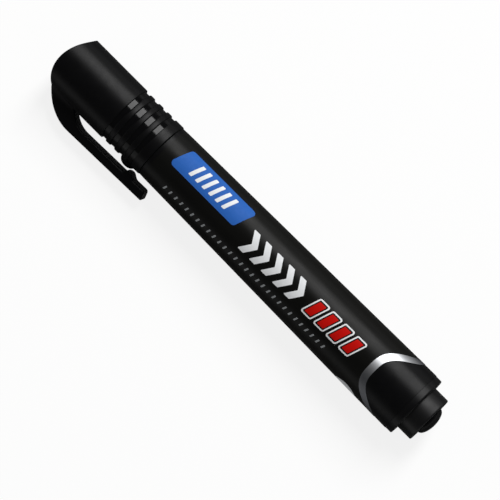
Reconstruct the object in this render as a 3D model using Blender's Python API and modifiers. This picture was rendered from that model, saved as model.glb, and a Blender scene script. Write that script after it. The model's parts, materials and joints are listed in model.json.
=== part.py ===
"""Permanent marker with a clip cap, lying on a table. Metres, +Z up.

Every piece is modelled in the pen's own frame and hangs from the empty pen_axis. In that frame +Z
points along the pen to the crown of the cap, and -Y points to the clip. "Along" is a distance on the
pen's axis from the seam between cap and barrel: negative on the cap, positive on the barrel.
"""

import math

import bmesh
import bpy
from mathutils import Matrix, Vector

# Facets round the axis, alike on every turned piece, so that nested walls stay parallel.
SEGMENTS = 48
ARC_STEPS = 8
MERGE_DISTANCE = 0.000001

# Fits
FIT_CLEARANCE = 0.0001
SEAT_GAP = 0.0001
SEAM_GAP = 0.0002
FLEX_GAP = 0.0003

# Tip holder
NECK_RADIUS = 0.00695
NECK_LENGTH = 0.0125
NECK_WALL = 0.00155
SHOULDER_CHAMFER = 0.0004
INSERT_LENGTH = 0.0070
NOSE_LENGTH = 0.0049
NOSE_WALL = 0.0009
NOSE_FLARE = 0.0010
NOSE_SOLID_LENGTH = 0.0034

# Fibre tip
NIB_RADIUS = 0.0023
NIB_REACH = 0.0048
NIB_ROUND_LENGTH = 0.0024
NIB_POINT_RADIUS = 0.0007
NIB_DEPTH_IN_RESERVOIR = 0.0076

# Inner cap
LINER_WALL = 0.0008
LINER_MOUTH_SETBACK = 0.0033
LINER_FLANGE_LENGTH = 0.0012
LINER_LEDGE = 0.00085
LINER_LEDGE_SLOPE = 0.0008
NIB_ROOM = 0.0054

# Cap
CAP_CLEARANCE = 0.0001
CAP_WALL = 0.00145
CAP_HEADROOM = 0.00485
CROWN_SPREAD = 0.0036
CROWN_OFFSET = 0.00055
CROWN_WALL = 0.0015
GRIP_STEP = 0.00013
GROOVE_COUNT = 4
GROOVE_DEPTH = 0.0004
GROOVE_WIDTH = 0.00145
GROOVE_PITCH = 0.00312
LIP_LENGTH = 0.0029
NUB_SETBACK = 0.0044
NUB_HALF_LENGTH = 0.0024
NUB_HALF_WIDTH = 0.0019
NUB_HEIGHT = 0.00125
NUB_ROOTING = 0.0006

# Pocket clip
CLIP_WIDTH = 0.0050
CLIP_THICKNESS = 0.0025
CLIP_EDGE_RADIUS = 0.00035
CLIP_CREST_RUN = 0.01365
CLIP_CREST_RISE = 0.00505
CLIP_SWEEP_RADIUS = 0.0124
CLIP_THROAT_RADIUS = 0.0080
CLIP_ARM_START = 0.0055
CLIP_OVERHANG = 0.0050
CLIP_FALL = 0.00071
CLIP_END_RADIUS = 0.0006
CLIP_ROOT_DEPTH = 0.0009
RIDGE_SETBACK = 0.0017
RIDGE_STEEP_RUN = 0.00145
RIDGE_RAMP_RUN = 0.0024
RIDGE_HEIGHT = 0.00107

# Barrel
BARREL_LENGTH = 0.0918
BARREL_FLARE = 0.00126
BARREL_WALL = 0.0015
MOUTH_WALL = 0.00109
TAIL_WALL = 0.00135
RIB_COUNT = 4
RIB_THICKNESS = 0.0008
RIB_LENGTH = 0.060
RIB_START = 0.0060
RIB_MIN_HEIGHT = 0.00034
RIB_ROOTING = 0.0004

# Printed film
FILM_THICKNESS = 0.00012
FILM_CLEARANCE = 0.00003
FILM_FRONT_MARGIN = 0.0012
FILM_TAIL_MARGIN = 0.0038

# Ink reservoir
WRAP_THICKNESS = 0.00015
WRAP_CLEARANCE = 0.00005
RESERVOIR_END_GAP = 0.0003

# Tail plug
SKIRT_LENGTH = 0.0080
FLANGE_LENGTH = 0.00195
FLANGE_STEP = 0.0002
FLANGE_CHAMFER = 0.0003
SPIGOT_LENGTH = 0.0047
SPIGOT_WALL = 0.00145
SPIGOT_CHAMFER = 0.0003
PLUG_END_WALL = 0.0015
TIP_RADIUS = 0.0041
TIP_HEIGHT = 0.0018

# Sizes that follow from the fits
BARREL_FRONT_RADIUS = NECK_RADIUS + FIT_CLEARANCE + MOUTH_WALL
BARREL_TAIL_RADIUS = BARREL_FRONT_RADIUS + BARREL_FLARE
CAP_BORE_RADIUS = NECK_RADIUS + CAP_CLEARANCE
CAP_RADIUS = CAP_BORE_RADIUS + CAP_WALL
GRIP_RADIUS = CAP_RADIUS - GRIP_STEP
LINER_BORE_RADIUS = CAP_BORE_RADIUS - LINER_LEDGE
NOSE_TIP_RADIUS = NIB_RADIUS + FIT_CLEARANCE + NOSE_WALL
NOSE_BASE_ALONG = -(NECK_LENGTH + SHOULDER_CHAMFER)
NOSE_TIP_ALONG = NOSE_BASE_ALONG - NOSE_LENGTH
NIB_POINT_ALONG = NOSE_TIP_ALONG - NIB_REACH
LINER_MOUTH_ALONG = -(NECK_LENGTH + LINER_MOUTH_SETBACK)
LINER_FLOOR_ALONG = NIB_POINT_ALONG - NIB_ROOM
CAP_APEX_ALONG = LINER_FLOOR_ALONG - LINER_WALL - CAP_HEADROOM - CROWN_WALL
CROWN_RADIUS = CAP_RADIUS + CROWN_SPREAD
RESERVOIR_FRONT_ALONG = INSERT_LENGTH + RESERVOIR_END_GAP
RESERVOIR_REAR_ALONG = BARREL_LENGTH - SKIRT_LENGTH - RESERVOIR_END_GAP
CLIP_CREST_ALONG = CAP_APEX_ALONG + CLIP_CREST_RUN
CLIP_CREST_RADIUS = CAP_RADIUS + CLIP_CREST_RISE
CLIP_FLEX_ALONG = CLIP_CREST_ALONG + CLIP_ARM_START

COLLECTION_NAME = "permanent_marker"


def barrel_radius(along):
    """Outer radius of the barrel, which widens evenly to the tail."""
    return BARREL_FRONT_RADIUS + BARREL_FLARE * along / BARREL_LENGTH


def barrel_bore(along):
    """Radius of the barrel's bore, one wall inside the outer surface."""
    return barrel_radius(along) - BARREL_WALL


def nose_radius(along):
    """Radius of the tip holder's tapered nose."""
    share = (along - NOSE_TIP_ALONG) / NOSE_LENGTH
    return NOSE_TIP_RADIUS + NOSE_FLARE * share


def crown_along(reach):
    """Where the crown's arched end lies, at a reach from the axis to the clip's side."""
    offset = reach + CROWN_OFFSET
    return CAP_APEX_ALONG + CROWN_RADIUS - math.sqrt(CROWN_RADIUS ** 2 - offset ** 2)


def clip_outer_radius(along):
    """Distance of the clip arm's outer face from the axis, beyond the crest."""
    share = (along - CLIP_CREST_ALONG) / (CLIP_OVERHANG - CLIP_CREST_ALONG)
    return CLIP_CREST_RADIUS - CLIP_FALL * share


def clip_inner_radius(along):
    """Distance of the clip arm's inner face from the axis."""
    return clip_outer_radius(along) - CLIP_THICKNESS


RIB_INNER_RADIUS = barrel_bore(INSERT_LENGTH) - RIB_MIN_HEIGHT
WRAP_RADIUS = RIB_INNER_RADIUS - FIT_CLEARANCE
RESERVOIR_RADIUS = WRAP_RADIUS - WRAP_THICKNESS - WRAP_CLEARANCE
CLIP_FLEX_RADIUS = clip_outer_radius(CLIP_FLEX_ALONG) - CLIP_THICKNESS / 2
# The cap rests on the table with the end of its side, about half a radius from the axis to the clip.
CAP_REST_ALONG = crown_along(CAP_RADIUS / 2)


def arc(centre, radius, start, end, steps=ARC_STEPS):
    """Points on a circle from one angle to another, ends included."""
    points = []
    for step in range(steps + 1):
        angle = start + (end - start) * step / steps
        points.append((centre[0] + radius * math.cos(angle), centre[1] + radius * math.sin(angle)))
    return points


def dome(base_along, base_radius, height, steps=ARC_STEPS):
    """Profile of a spherical cap that bulges to larger along, from its base to its apex."""
    sphere = (base_radius ** 2 + height ** 2) / (2 * height)
    half_angle = 2 * math.atan2(height, base_radius)
    centre = (base_along + height - sphere, 0.0)
    return arc(centre, sphere, half_angle, 0.0, steps)


def new_collection(name):
    """Add a collection to the scene."""
    collection = bpy.data.collections.new(name)
    bpy.context.scene.collection.children.link(collection)
    return collection


def new_material(name, colour, roughness):
    """Principled material of one plastic or fibre."""
    material = bpy.data.materials.new(name)
    material.use_nodes = True
    shader = material.node_tree.nodes["Principled BSDF"]
    shader.inputs["Base Color"].default_value = (*colour, 1.0)
    shader.inputs["Roughness"].default_value = roughness
    shader.inputs["Metallic"].default_value = 0.0
    return material


def add_object(name, data, collection, parent):
    """Link a new object under its parent."""
    item = bpy.data.objects.new(name, data)
    collection.objects.link(item)
    item.parent = parent
    return item


def smooth(item):
    """Shade a round piece smooth, with its corners kept sharp."""
    item.data.shade_smooth()
    item.data.set_sharp_from_angle(angle=math.radians(30))


def turned(name, profile, closed, collection, parent):
    """Turn a profile of (along, radius) points about the pen's axis.

    The profile runs down the outer side from the cap end to the tail end. A closed profile is a ring's
    section, and an open one starts and ends on the axis.
    """
    mesh = bpy.data.meshes.new(name)
    points = [(radius, 0.0, -along) for along, radius in profile]
    edges = [(index, index + 1) for index in range(len(points) - 1)]
    if closed:
        edges.append((len(points) - 1, 0))
    mesh.from_pydata(points, edges, [])
    item = add_object(name, mesh, collection, parent)
    screw = item.modifiers.new("Turn", "SCREW")
    screw.axis = "Z"
    screw.angle = math.tau
    screw.steps = SEGMENTS
    screw.render_steps = SEGMENTS
    screw.use_merge_vertices = True
    screw.merge_threshold = MERGE_DISTANCE
    screw.use_smooth_shade = True
    return item


def extruded(name, outline, width, edge_radius, collection, parent, origin=(0.0, 0.0)):
    """Extrude an outline of (along, radius) points to both sides of the clip's middle plane.

    The outline's points are taken from the origin given, where the new object's own origin is put.
    """
    curve = bpy.data.curves.new(name, "CURVE")
    curve.dimensions = "2D"
    curve.fill_mode = "BOTH"
    curve.extrude = width / 2
    spline = curve.splines.new("POLY")
    spline.points.add(len(outline) - 1)
    for point, (along, radius) in zip(spline.points, outline):
        point.co = (origin[0] - along, origin[1] - radius, 0.0, 1.0)
    spline.use_cyclic_u = True
    flat = bpy.data.objects.new(name + "_outline", curve)
    collection.objects.link(flat)
    depsgraph = bpy.context.evaluated_depsgraph_get()
    mesh = bpy.data.meshes.new_from_object(flat.evaluated_get(depsgraph))
    bpy.data.objects.remove(flat)
    # The outline's plane is turned so that its width lies across the clip.
    mesh.transform(Matrix.Rotation(-math.pi / 2, 4, "Y"))
    shape = bmesh.new()
    shape.from_mesh(mesh)
    bmesh.ops.remove_doubles(shape, verts=shape.verts, dist=MERGE_DISTANCE)
    bmesh.ops.dissolve_limit(shape, angle_limit=math.radians(0.1), verts=shape.verts, edges=shape.edges)
    bmesh.ops.recalc_face_normals(shape, faces=shape.faces)
    shape.to_mesh(mesh)
    shape.free()
    mesh.name = name
    item = add_object(name, mesh, collection, parent)
    item.location = (0.0, -origin[1], -origin[0])
    bevel = item.modifiers.new("Edges", "BEVEL")
    bevel.width = edge_radius
    bevel.segments = 2
    bevel.limit_method = "ANGLE"
    bevel.angle_limit = math.radians(60)
    return item


def make_cutter(item):
    """Mark an object as a helper of a Boolean."""
    item.hide_render = True
    item.display_type = "WIRE"
    return item


def combine(item, operand, operation):
    """Join an operand to a piece or cut it away."""
    boolean = item.modifiers.new(operation.title(), "BOOLEAN")
    boolean.operation = operation
    boolean.solver = "EXACT"
    boolean.object = operand


def groove_starts():
    """Where each grip groove starts, from the crown's side to the lip."""
    first = -LIP_LENGTH - GROOVE_WIDTH - (GROOVE_COUNT - 1) * GROOVE_PITCH
    return [first + index * GROOVE_PITCH for index in range(GROOVE_COUNT)]


def cap_profile():
    """Outside of the cap to its lip, with stock beyond the crown that is cut away."""
    stock_end = CAP_APEX_ALONG - CROWN_WALL
    profile = [(stock_end, 0.0), (stock_end, CAP_RADIUS)]
    side_radius = CAP_RADIUS
    for start in groove_starts():
        floor = GRIP_RADIUS - GROOVE_DEPTH
        profile += [(start, side_radius), (start, floor)]
        profile += [(start + GROOVE_WIDTH, floor), (start + GROOVE_WIDTH, GRIP_RADIUS)]
        side_radius = GRIP_RADIUS
    return profile + [(-SEAM_GAP, GRIP_RADIUS), (-SEAM_GAP, 0.0)]


def crown_cut_outline():
    """What is cut from the end of the cap: all that lies beyond the crown's arch."""
    reach = CAP_RADIUS + CROWN_SPREAD / 2
    steps = 4 * ARC_STEPS
    outline = []
    for step in range(steps + 1):
        radius = reach * (2 * step / steps - 1)
        outline.append((crown_along(radius), radius))
    beyond = CAP_APEX_ALONG - 2 * CROWN_WALL
    return outline + [(beyond, reach), (beyond, -reach)]


def cavity_profile():
    """Hollow of the cap: inner dome, seat of the inner cap, and bore for the neck."""
    centre = CAP_APEX_ALONG + CROWN_RADIUS
    inner = CROWN_RADIUS - CROWN_WALL
    half_angle = math.asin(LINER_BORE_RADIUS / inner)
    profile = arc((centre, 0.0), inner, math.pi, math.pi - half_angle)
    ledge = LINER_MOUTH_ALONG - LINER_LEDGE_SLOPE
    beyond_lip = CAP_WALL
    profile += [(ledge, LINER_BORE_RADIUS), (LINER_MOUTH_ALONG, CAP_BORE_RADIUS)]
    return profile + [(beyond_lip, CAP_BORE_RADIUS), (beyond_lip, 0.0)]


def clip_root_outline():
    """Foot of the clip: it sweeps up from the crown's edge and ends where the arm starts to flex."""
    foot_radius = CAP_RADIUS - CLIP_ROOT_DEPTH
    sweep_centre = (CLIP_CREST_ALONG, CLIP_CREST_RADIUS - CLIP_SWEEP_RADIUS)
    foot_angle = math.pi - math.asin((foot_radius - sweep_centre[1]) / CLIP_SWEEP_RADIUS)
    outline = arc(sweep_centre, CLIP_SWEEP_RADIUS, foot_angle, math.pi / 2)
    end = CLIP_FLEX_ALONG - FLEX_GAP / 2
    outline += [(end, clip_outer_radius(end)), (end, clip_inner_radius(end))]
    throat_along = CLIP_FLEX_ALONG - CLIP_THICKNESS / 2
    throat_centre = (throat_along, clip_inner_radius(throat_along) - CLIP_THROAT_RADIUS)
    throat_angle = math.pi - math.asin((foot_radius - throat_centre[1]) / CLIP_THROAT_RADIUS)
    return outline + arc(throat_centre, CLIP_THROAT_RADIUS, math.pi / 2, throat_angle)


def ridge_outline():
    """Retaining ridge on the arm's inner face, from its gentle ramp to its steep side."""
    points = []
    for step in range(ARC_STEPS + 1):
        share = 1 - step / ARC_STEPS
        along = -RIDGE_SETBACK + RIDGE_RAMP_RUN * share
        height = RIDGE_HEIGHT * math.cos(math.pi / 2 * share) ** 2
        points.append((along, clip_inner_radius(along) - height))
    for step in range(1, ARC_STEPS + 1):
        angle = math.pi / 2 * step / ARC_STEPS
        along = -RIDGE_SETBACK - RIDGE_STEEP_RUN * math.sin(angle)
        height = RIDGE_HEIGHT * math.cos(angle)
        points.append((along, clip_inner_radius(along) - height))
    return points


def clip_arm_outline():
    """Arm of the clip, with its retaining ridge on the inner face and a rounded end."""
    start = CLIP_FLEX_ALONG + FLEX_GAP / 2
    corner = CLIP_END_RADIUS
    round_along = CLIP_OVERHANG - corner
    outer_centre = (round_along, clip_outer_radius(round_along) - corner)
    inner_centre = (round_along, clip_inner_radius(round_along) + corner)
    outline = [(start, clip_outer_radius(start))]
    outline += arc(outer_centre, corner, math.pi / 2, 0.0, ARC_STEPS // 2)
    outline += arc(inner_centre, corner, 0.0, -math.pi / 2, ARC_STEPS // 2)
    return outline + ridge_outline() + [(start, clip_inner_radius(start))]


def build_cap(collection, cutters, parent):
    """Cap with its arched crown, clip root and nub, hollowed for the neck and the inner cap."""
    cap = turned("cap", cap_profile(), False, collection, parent)
    cut_width = 2 * CAP_RADIUS + CROWN_SPREAD
    crown = extruded("crown_cut", crown_cut_outline(), cut_width, CLIP_EDGE_RADIUS, cutters, parent)
    root = extruded("clip_root", clip_root_outline(), CLIP_WIDTH, CLIP_EDGE_RADIUS, cutters, parent)
    nub_mesh = bpy.data.meshes.new("cap_nub")
    shape = bmesh.new()
    bmesh.ops.create_uvsphere(shape, u_segments=2 * ARC_STEPS, v_segments=ARC_STEPS, radius=1.0)
    half_sizes = (NUB_HALF_WIDTH, NUB_HEIGHT + NUB_ROOTING, NUB_HALF_LENGTH)
    bmesh.ops.scale(shape, vec=half_sizes, verts=shape.verts)
    shape.to_mesh(nub_mesh)
    shape.free()
    nub = add_object("cap_nub", nub_mesh, cutters, parent)
    nub.location = (0.0, NUB_ROOTING - GRIP_RADIUS, NUB_SETBACK)
    cavity = turned("cap_cavity", cavity_profile(), False, cutters, parent)
    combine(cap, make_cutter(crown), "DIFFERENCE")
    combine(cap, make_cutter(root), "UNION")
    combine(cap, make_cutter(nub), "UNION")
    combine(cap, make_cutter(cavity), "DIFFERENCE")
    return cap


def build_clip(collection, parent):
    """Sprung arm of the clip. Its origin lies on the line that it flexes about."""
    flex = (CLIP_FLEX_ALONG, CLIP_FLEX_RADIUS)
    outline = clip_arm_outline()
    return extruded("pocket_clip", outline, CLIP_WIDTH, CLIP_EDGE_RADIUS, collection, parent, flex)


def build_inner_cap(collection, parent):
    """Sealing cup: closed round the tip, with a flange at its mouth held by the cap's ledge."""
    seal = nose_radius(LINER_MOUTH_ALONG) + FIT_CLEARANCE
    body = seal + LINER_WALL
    flange = LINER_BORE_RADIUS - FIT_CLEARANCE
    back = LINER_FLOOR_ALONG - LINER_WALL
    mouth = LINER_MOUTH_ALONG - LINER_LEDGE_SLOPE
    shoulder = mouth - LINER_FLANGE_LENGTH
    profile = [(back, 0.0), (back, body), (shoulder, body), (shoulder, flange), (mouth, flange)]
    profile += [(mouth, seal), (LINER_FLOOR_ALONG, seal), (LINER_FLOOR_ALONG, 0.0)]
    return turned("inner_cap", profile, False, collection, parent)


def build_barrel(collection, cutters, parent):
    """Body tube: recess for the film outside, seats for both plugs and centring ribs inside."""
    film_start = FILM_FRONT_MARGIN - FILM_CLEARANCE
    film_end = BARREL_LENGTH - FILM_TAIL_MARGIN + FILM_CLEARANCE
    recess = FILM_THICKNESS + FILM_CLEARANCE
    tail_bore = BARREL_TAIL_RADIUS - TAIL_WALL
    tail_seat = BARREL_LENGTH - SKIRT_LENGTH - SEAT_GAP
    mouth_bore = NECK_RADIUS + FIT_CLEARANCE
    mouth_seat = INSERT_LENGTH + SEAT_GAP
    profile = [(0.0, barrel_radius(0.0))]
    profile += [(film_start, barrel_radius(film_start)), (film_start, barrel_radius(film_start) - recess)]
    profile += [(film_end, barrel_radius(film_end) - recess), (film_end, barrel_radius(film_end))]
    profile += [(BARREL_LENGTH, BARREL_TAIL_RADIUS), (BARREL_LENGTH, tail_bore), (tail_seat, tail_bore)]
    profile += [(tail_seat, barrel_bore(tail_seat)), (mouth_seat, barrel_bore(mouth_seat))]
    profile += [(mouth_seat, mouth_bore), (0.0, mouth_bore)]
    barrel = turned("barrel", profile, True, collection, parent)
    for index in range(RIB_COUNT):
        rib = build_rib(index, cutters, parent)
        combine(barrel, make_cutter(rib), "UNION")
    return barrel


def build_rib(index, cutters, parent):
    """One lengthwise rib, rooted in the bore's wall and level with the axis on its inner edge."""
    start = INSERT_LENGTH + RIB_START
    end = start + RIB_LENGTH
    mesh = bpy.data.meshes.new("barrel_rib")
    shape = bmesh.new()
    bmesh.ops.create_cube(shape, size=1.0)
    for vert in shape.verts:
        along = start if vert.co.z > 0 else end
        outer = barrel_bore(along) + RIB_ROOTING
        radius = outer if vert.co.x > 0 else RIB_INNER_RADIUS
        vert.co = Vector((radius, math.copysign(RIB_THICKNESS / 2, vert.co.y), -along))
    shape.to_mesh(mesh)
    shape.free()
    rib = add_object("barrel_rib_" + str(index + 1), mesh, cutters, parent)
    rib.rotation_euler.z = math.tau * (index + 0.5) / RIB_COUNT
    return rib


def build_film(collection, parent):
    """Printed film that lies flush in the barrel's recess."""
    start = FILM_FRONT_MARGIN
    end = BARREL_LENGTH - FILM_TAIL_MARGIN
    profile = [(start, barrel_radius(start)), (end, barrel_radius(end))]
    profile += [(end, barrel_radius(end) - FILM_THICKNESS), (start, barrel_radius(start) - FILM_THICKNESS)]
    return turned("label_film", profile, True, collection, parent)


def build_front_section(collection, parent):
    """Tip holder: nose, neck for the cap, and an insert hollowed out behind the nose."""
    nib_bore = NIB_RADIUS + FIT_CLEARANCE
    hollow = NECK_RADIUS - NECK_WALL
    hollow_end = -NECK_LENGTH + NOSE_SOLID_LENGTH
    neck_top = NECK_RADIUS - SHOULDER_CHAMFER
    profile = [(NOSE_TIP_ALONG, NOSE_TIP_RADIUS), (NOSE_BASE_ALONG, NOSE_TIP_RADIUS + NOSE_FLARE)]
    profile += [(NOSE_BASE_ALONG, neck_top), (-NECK_LENGTH, NECK_RADIUS), (INSERT_LENGTH, NECK_RADIUS)]
    profile += [(INSERT_LENGTH, hollow), (hollow_end, hollow), (hollow_end, nib_bore)]
    return turned("front_section", profile + [(NOSE_TIP_ALONG, nib_bore)], True, collection, parent)


def build_nib(collection, parent):
    """Bullet tip of bonded fibre, whose rear end feeds from the reservoir."""
    rear = RESERVOIR_FRONT_ALONG + NIB_DEPTH_IN_RESERVOIR
    round_end = NIB_POINT_ALONG + NIB_ROUND_LENGTH
    profile = [(NIB_POINT_ALONG, 0.0)]
    for step in range(ARC_STEPS + 1):
        angle = math.pi / 2 * step / ARC_STEPS
        along = round_end - NIB_ROUND_LENGTH * math.cos(angle)
        radius = NIB_POINT_RADIUS + (NIB_RADIUS - NIB_POINT_RADIUS) * math.sin(angle)
        profile.append((along, radius))
    return turned("nib", profile + [(rear, NIB_RADIUS), (rear, 0.0)], False, collection, parent)


def build_reservoir(collection, parent):
    """Fibre rod with a blind hole for the tip's rear end."""
    hole = NIB_RADIUS + FIT_CLEARANCE
    hole_end = RESERVOIR_FRONT_ALONG + NIB_DEPTH_IN_RESERVOIR + FIT_CLEARANCE
    front = RESERVOIR_FRONT_ALONG
    rear = RESERVOIR_REAR_ALONG
    profile = [(hole_end, 0.0), (hole_end, hole), (front, hole), (front, RESERVOIR_RADIUS)]
    profile += [(rear, RESERVOIR_RADIUS), (rear, 0.0)]
    return turned("ink_reservoir", profile, False, collection, parent)


def build_wrap(collection, parent):
    """Plastic sleeve round the fibre rod."""
    front = RESERVOIR_FRONT_ALONG
    rear = RESERVOIR_REAR_ALONG
    inner = WRAP_RADIUS - WRAP_THICKNESS
    profile = [(front, WRAP_RADIUS), (rear, WRAP_RADIUS), (rear, inner), (front, inner)]
    return turned("reservoir_wrap", profile, True, collection, parent)


def build_tail_plug(collection, parent):
    """End plug: skirt in the barrel, flange, and a spigot of the neck's size that takes the cap."""
    skirt = BARREL_TAIL_RADIUS - TAIL_WALL - FIT_CLEARANCE
    flange = BARREL_TAIL_RADIUS - FLANGE_STEP
    skirt_front = BARREL_LENGTH - SKIRT_LENGTH
    seat = BARREL_LENGTH + SEAT_GAP
    shoulder = seat + FLANGE_LENGTH
    spigot_end = shoulder + SPIGOT_LENGTH
    hollow = NECK_RADIUS - SPIGOT_WALL
    hollow_end = spigot_end - PLUG_END_WALL
    profile = [(skirt_front, skirt), (seat, skirt), (seat, flange), (shoulder - FLANGE_CHAMFER, flange)]
    profile += [(shoulder, flange - FLANGE_CHAMFER), (shoulder, NECK_RADIUS)]
    profile += [(spigot_end - SPIGOT_CHAMFER, NECK_RADIUS), (spigot_end, NECK_RADIUS - SPIGOT_CHAMFER)]
    profile += dome(spigot_end, TIP_RADIUS, TIP_HEIGHT)
    # The hollow is left open at the skirt, so the section is drawn from the mouth round to the axis.
    inside = [(hollow_end, 0.0), (hollow_end, hollow), (skirt_front, hollow)]
    return turned("tail_plug", inside + profile, False, collection, parent)


def rest_slope():
    """Rise of the pen's axis to the tail, with the cap's end and the barrel's tail on the table."""
    return (BARREL_TAIL_RADIUS - CAP_RADIUS) / (BARREL_LENGTH - CAP_REST_ALONG)


def rest_roll():
    """Turn about the pen's axis at which the clip's lower edge meets the table."""
    run = CLIP_CREST_ALONG - CAP_REST_ALONG
    axis_height = CAP_RADIUS + run * rest_slope()
    reach = CLIP_CREST_RADIUS - CLIP_EDGE_RADIUS
    half_width = CLIP_WIDTH / 2 - CLIP_EDGE_RADIUS
    lean = math.atan2(half_width, reach)
    return math.asin((axis_height - CLIP_EDGE_RADIUS) / math.hypot(reach, half_width)) - lean


def lay_on_table(pen_axis, pieces):
    """Lay the pen on its cap, barrel end and clip, with the middle of its base at the origin."""
    roll = rest_roll()
    pitch = math.atan(rest_slope())
    up = Vector((0.0, -math.sin(roll), math.cos(roll)))
    away_from_clip = Vector((0.0, math.cos(roll), math.sin(roll)))
    to_cap = Vector((-1.0, 0.0, 0.0))
    level = Matrix((up, away_from_clip, to_cap)).transposed().to_4x4()
    pen_axis.matrix_world = Matrix.Rotation(-pitch, 4, "Y") @ level
    bpy.context.view_layer.update()
    depsgraph = bpy.context.evaluated_depsgraph_get()
    corners = []
    for piece in pieces:
        evaluated = piece.evaluated_get(depsgraph)
        corners += [evaluated.matrix_world @ vert.co for vert in evaluated.data.vertices]
    low = Vector([min(corner[axis] for corner in corners) for axis in range(3)])
    high = Vector([max(corner[axis] for corner in corners) for axis in range(3)])
    middle = (low + high) / 2
    pen_axis.location = (-middle.x, -middle.y, -low.z)
    bpy.context.view_layer.update()


def main():
    """Build the marker."""
    for item in list(bpy.data.objects):
        bpy.data.objects.remove(item)
    collection = new_collection(COLLECTION_NAME)
    cutters = new_collection("cutters")
    pen_axis = add_object("pen_axis", None, collection, None)
    black_plastic = new_material("black_polypropylene", (0.012, 0.012, 0.013), 0.45)
    print_film = new_material("black_print_film", (0.016, 0.015, 0.014), 0.35)
    seal_plastic = new_material("natural_polyethylene", (0.72, 0.72, 0.70), 0.5)
    inked_fibre = new_material("inked_fibre", (0.01, 0.01, 0.012), 0.9)
    clear_film = new_material("clear_wrap", (0.6, 0.6, 0.62), 0.3)
    finishes = [
        (build_cap(collection, cutters, pen_axis), black_plastic),
        (build_clip(collection, pen_axis), black_plastic),
        (build_inner_cap(collection, pen_axis), seal_plastic),
        (build_barrel(collection, cutters, pen_axis), black_plastic),
        (build_film(collection, pen_axis), print_film),
        (build_front_section(collection, pen_axis), black_plastic),
        (build_nib(collection, pen_axis), inked_fibre),
        (build_reservoir(collection, pen_axis), inked_fibre),
        (build_wrap(collection, pen_axis), clear_film),
        (build_tail_plug(collection, pen_axis), black_plastic),
    ]
    for piece, material in finishes:
        piece.data.materials.append(material)
    smooth(bpy.data.objects["pocket_clip"])
    lay_on_table(pen_axis, [piece for piece, material in finishes])


if __name__ == "__main__":
    main()
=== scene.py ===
"""Looks of a permanent marker: its finished surfaces, its print, and the studio around it.

Lengths are metres. Pieces are modelled in the pen's own frame and then laid where the frame's pen lies. In
the pen's frame X runs along the axis to the tail, from the seam between cap and barrel, Y points across the
clip and Z points out to the clip. "Along" is a place on X, and "out" is a distance from the axis.
"""

import json
import logging
import math
from dataclasses import dataclass, replace
from enum import Enum
from functools import cache
from typing import Callable, Sequence

import bmesh
import bpy
import numpy as np
from mathutils import Matrix, Vector


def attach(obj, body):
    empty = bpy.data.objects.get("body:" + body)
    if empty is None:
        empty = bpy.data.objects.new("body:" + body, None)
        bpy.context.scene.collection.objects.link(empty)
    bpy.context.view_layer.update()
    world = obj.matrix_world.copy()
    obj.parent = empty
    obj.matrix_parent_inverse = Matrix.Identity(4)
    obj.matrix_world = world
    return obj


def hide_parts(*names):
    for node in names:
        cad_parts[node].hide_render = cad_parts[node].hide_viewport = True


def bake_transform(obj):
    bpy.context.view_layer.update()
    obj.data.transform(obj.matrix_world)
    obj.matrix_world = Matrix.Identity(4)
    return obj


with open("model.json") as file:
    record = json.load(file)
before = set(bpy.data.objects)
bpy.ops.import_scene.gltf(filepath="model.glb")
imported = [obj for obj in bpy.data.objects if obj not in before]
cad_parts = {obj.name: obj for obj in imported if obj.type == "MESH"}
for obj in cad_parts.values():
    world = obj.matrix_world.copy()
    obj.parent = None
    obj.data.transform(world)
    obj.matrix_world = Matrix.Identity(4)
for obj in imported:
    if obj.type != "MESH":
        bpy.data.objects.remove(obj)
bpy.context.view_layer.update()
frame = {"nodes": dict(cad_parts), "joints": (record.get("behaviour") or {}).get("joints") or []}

LOG = logging.getLogger("marker")

# Distance within which two points are one, and depth from the barrel's end that counts as its rim.
MERGE_DISTANCE = 1e-7
RIM_DEPTH = 1e-5

# Sides of what is turned and of what is wrapped, steps of a rounding, and the angle that keeps an edge sharp.
ROUND_SEGMENTS = 160
BAND_SEGMENTS = 2 * ROUND_SEGMENTS
ARC_STEPS = 6
SHARP_ANGLE = math.radians(38)

# Most of a straight run of a profile, and of a side of the clip's section, that one rounding takes.
RUN_SHARE = 0.3
SIDE_SHARE = 0.45

# Turn of the line that faces the viewer, from the across axis away from the clip, and lean of the print.
PRINT_FACE_ANGLE = math.radians(13.0)
PRINT_SLANT = math.radians(18.0)

# Octaves of a finish's two noises, and the span that nearly all of a noise's values lie in.
FLECK_DETAIL = 3.0
GRAIN_DETAIL = 2.0
NOISE_LOW = 0.3
NOISE_HIGH = 0.7

# Sockets of a Mix node that mixes colours, by number, because their names repeat.
MIX_SHARE = 0
MIX_FIRST = 6
MIX_SECOND = 7
MIX_RESULT = 2

Point = tuple[float, float]
Place = tuple[float, float, float]
Ring = list[bmesh.types.BMVert]


class Body(Enum):
    """The bodies of the frame that pieces ride on."""

    BARREL = "barrel"
    CAP = "cap"
    CLIP = "clip"


class Slot(Enum):
    """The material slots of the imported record."""

    CAP = "cap_plastic"
    SEAL = "seal_plastic"
    BARREL = "barrel_plastic"
    PRINT = "print_film"
    HOLDER = "holder_plastic"
    NIB = "nib_fibre"


def linear(code: str) -> tuple[float, float, float, float]:
    """Turn an sRGB hex code to linear light.

    Args:
        code: The colour as "#rrggbb".

    Returns:
        Linear red, green and blue, and an alpha of 1.
    """
    channels = []
    for start in (1, 3, 5):
        value = int(code[start:start + 2], 16) / 255
        channels.append(value / 12.92 if value <= 0.04045 else ((value + 0.055) / 1.055) ** 2.4)
    return (*channels, 1.0)


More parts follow.
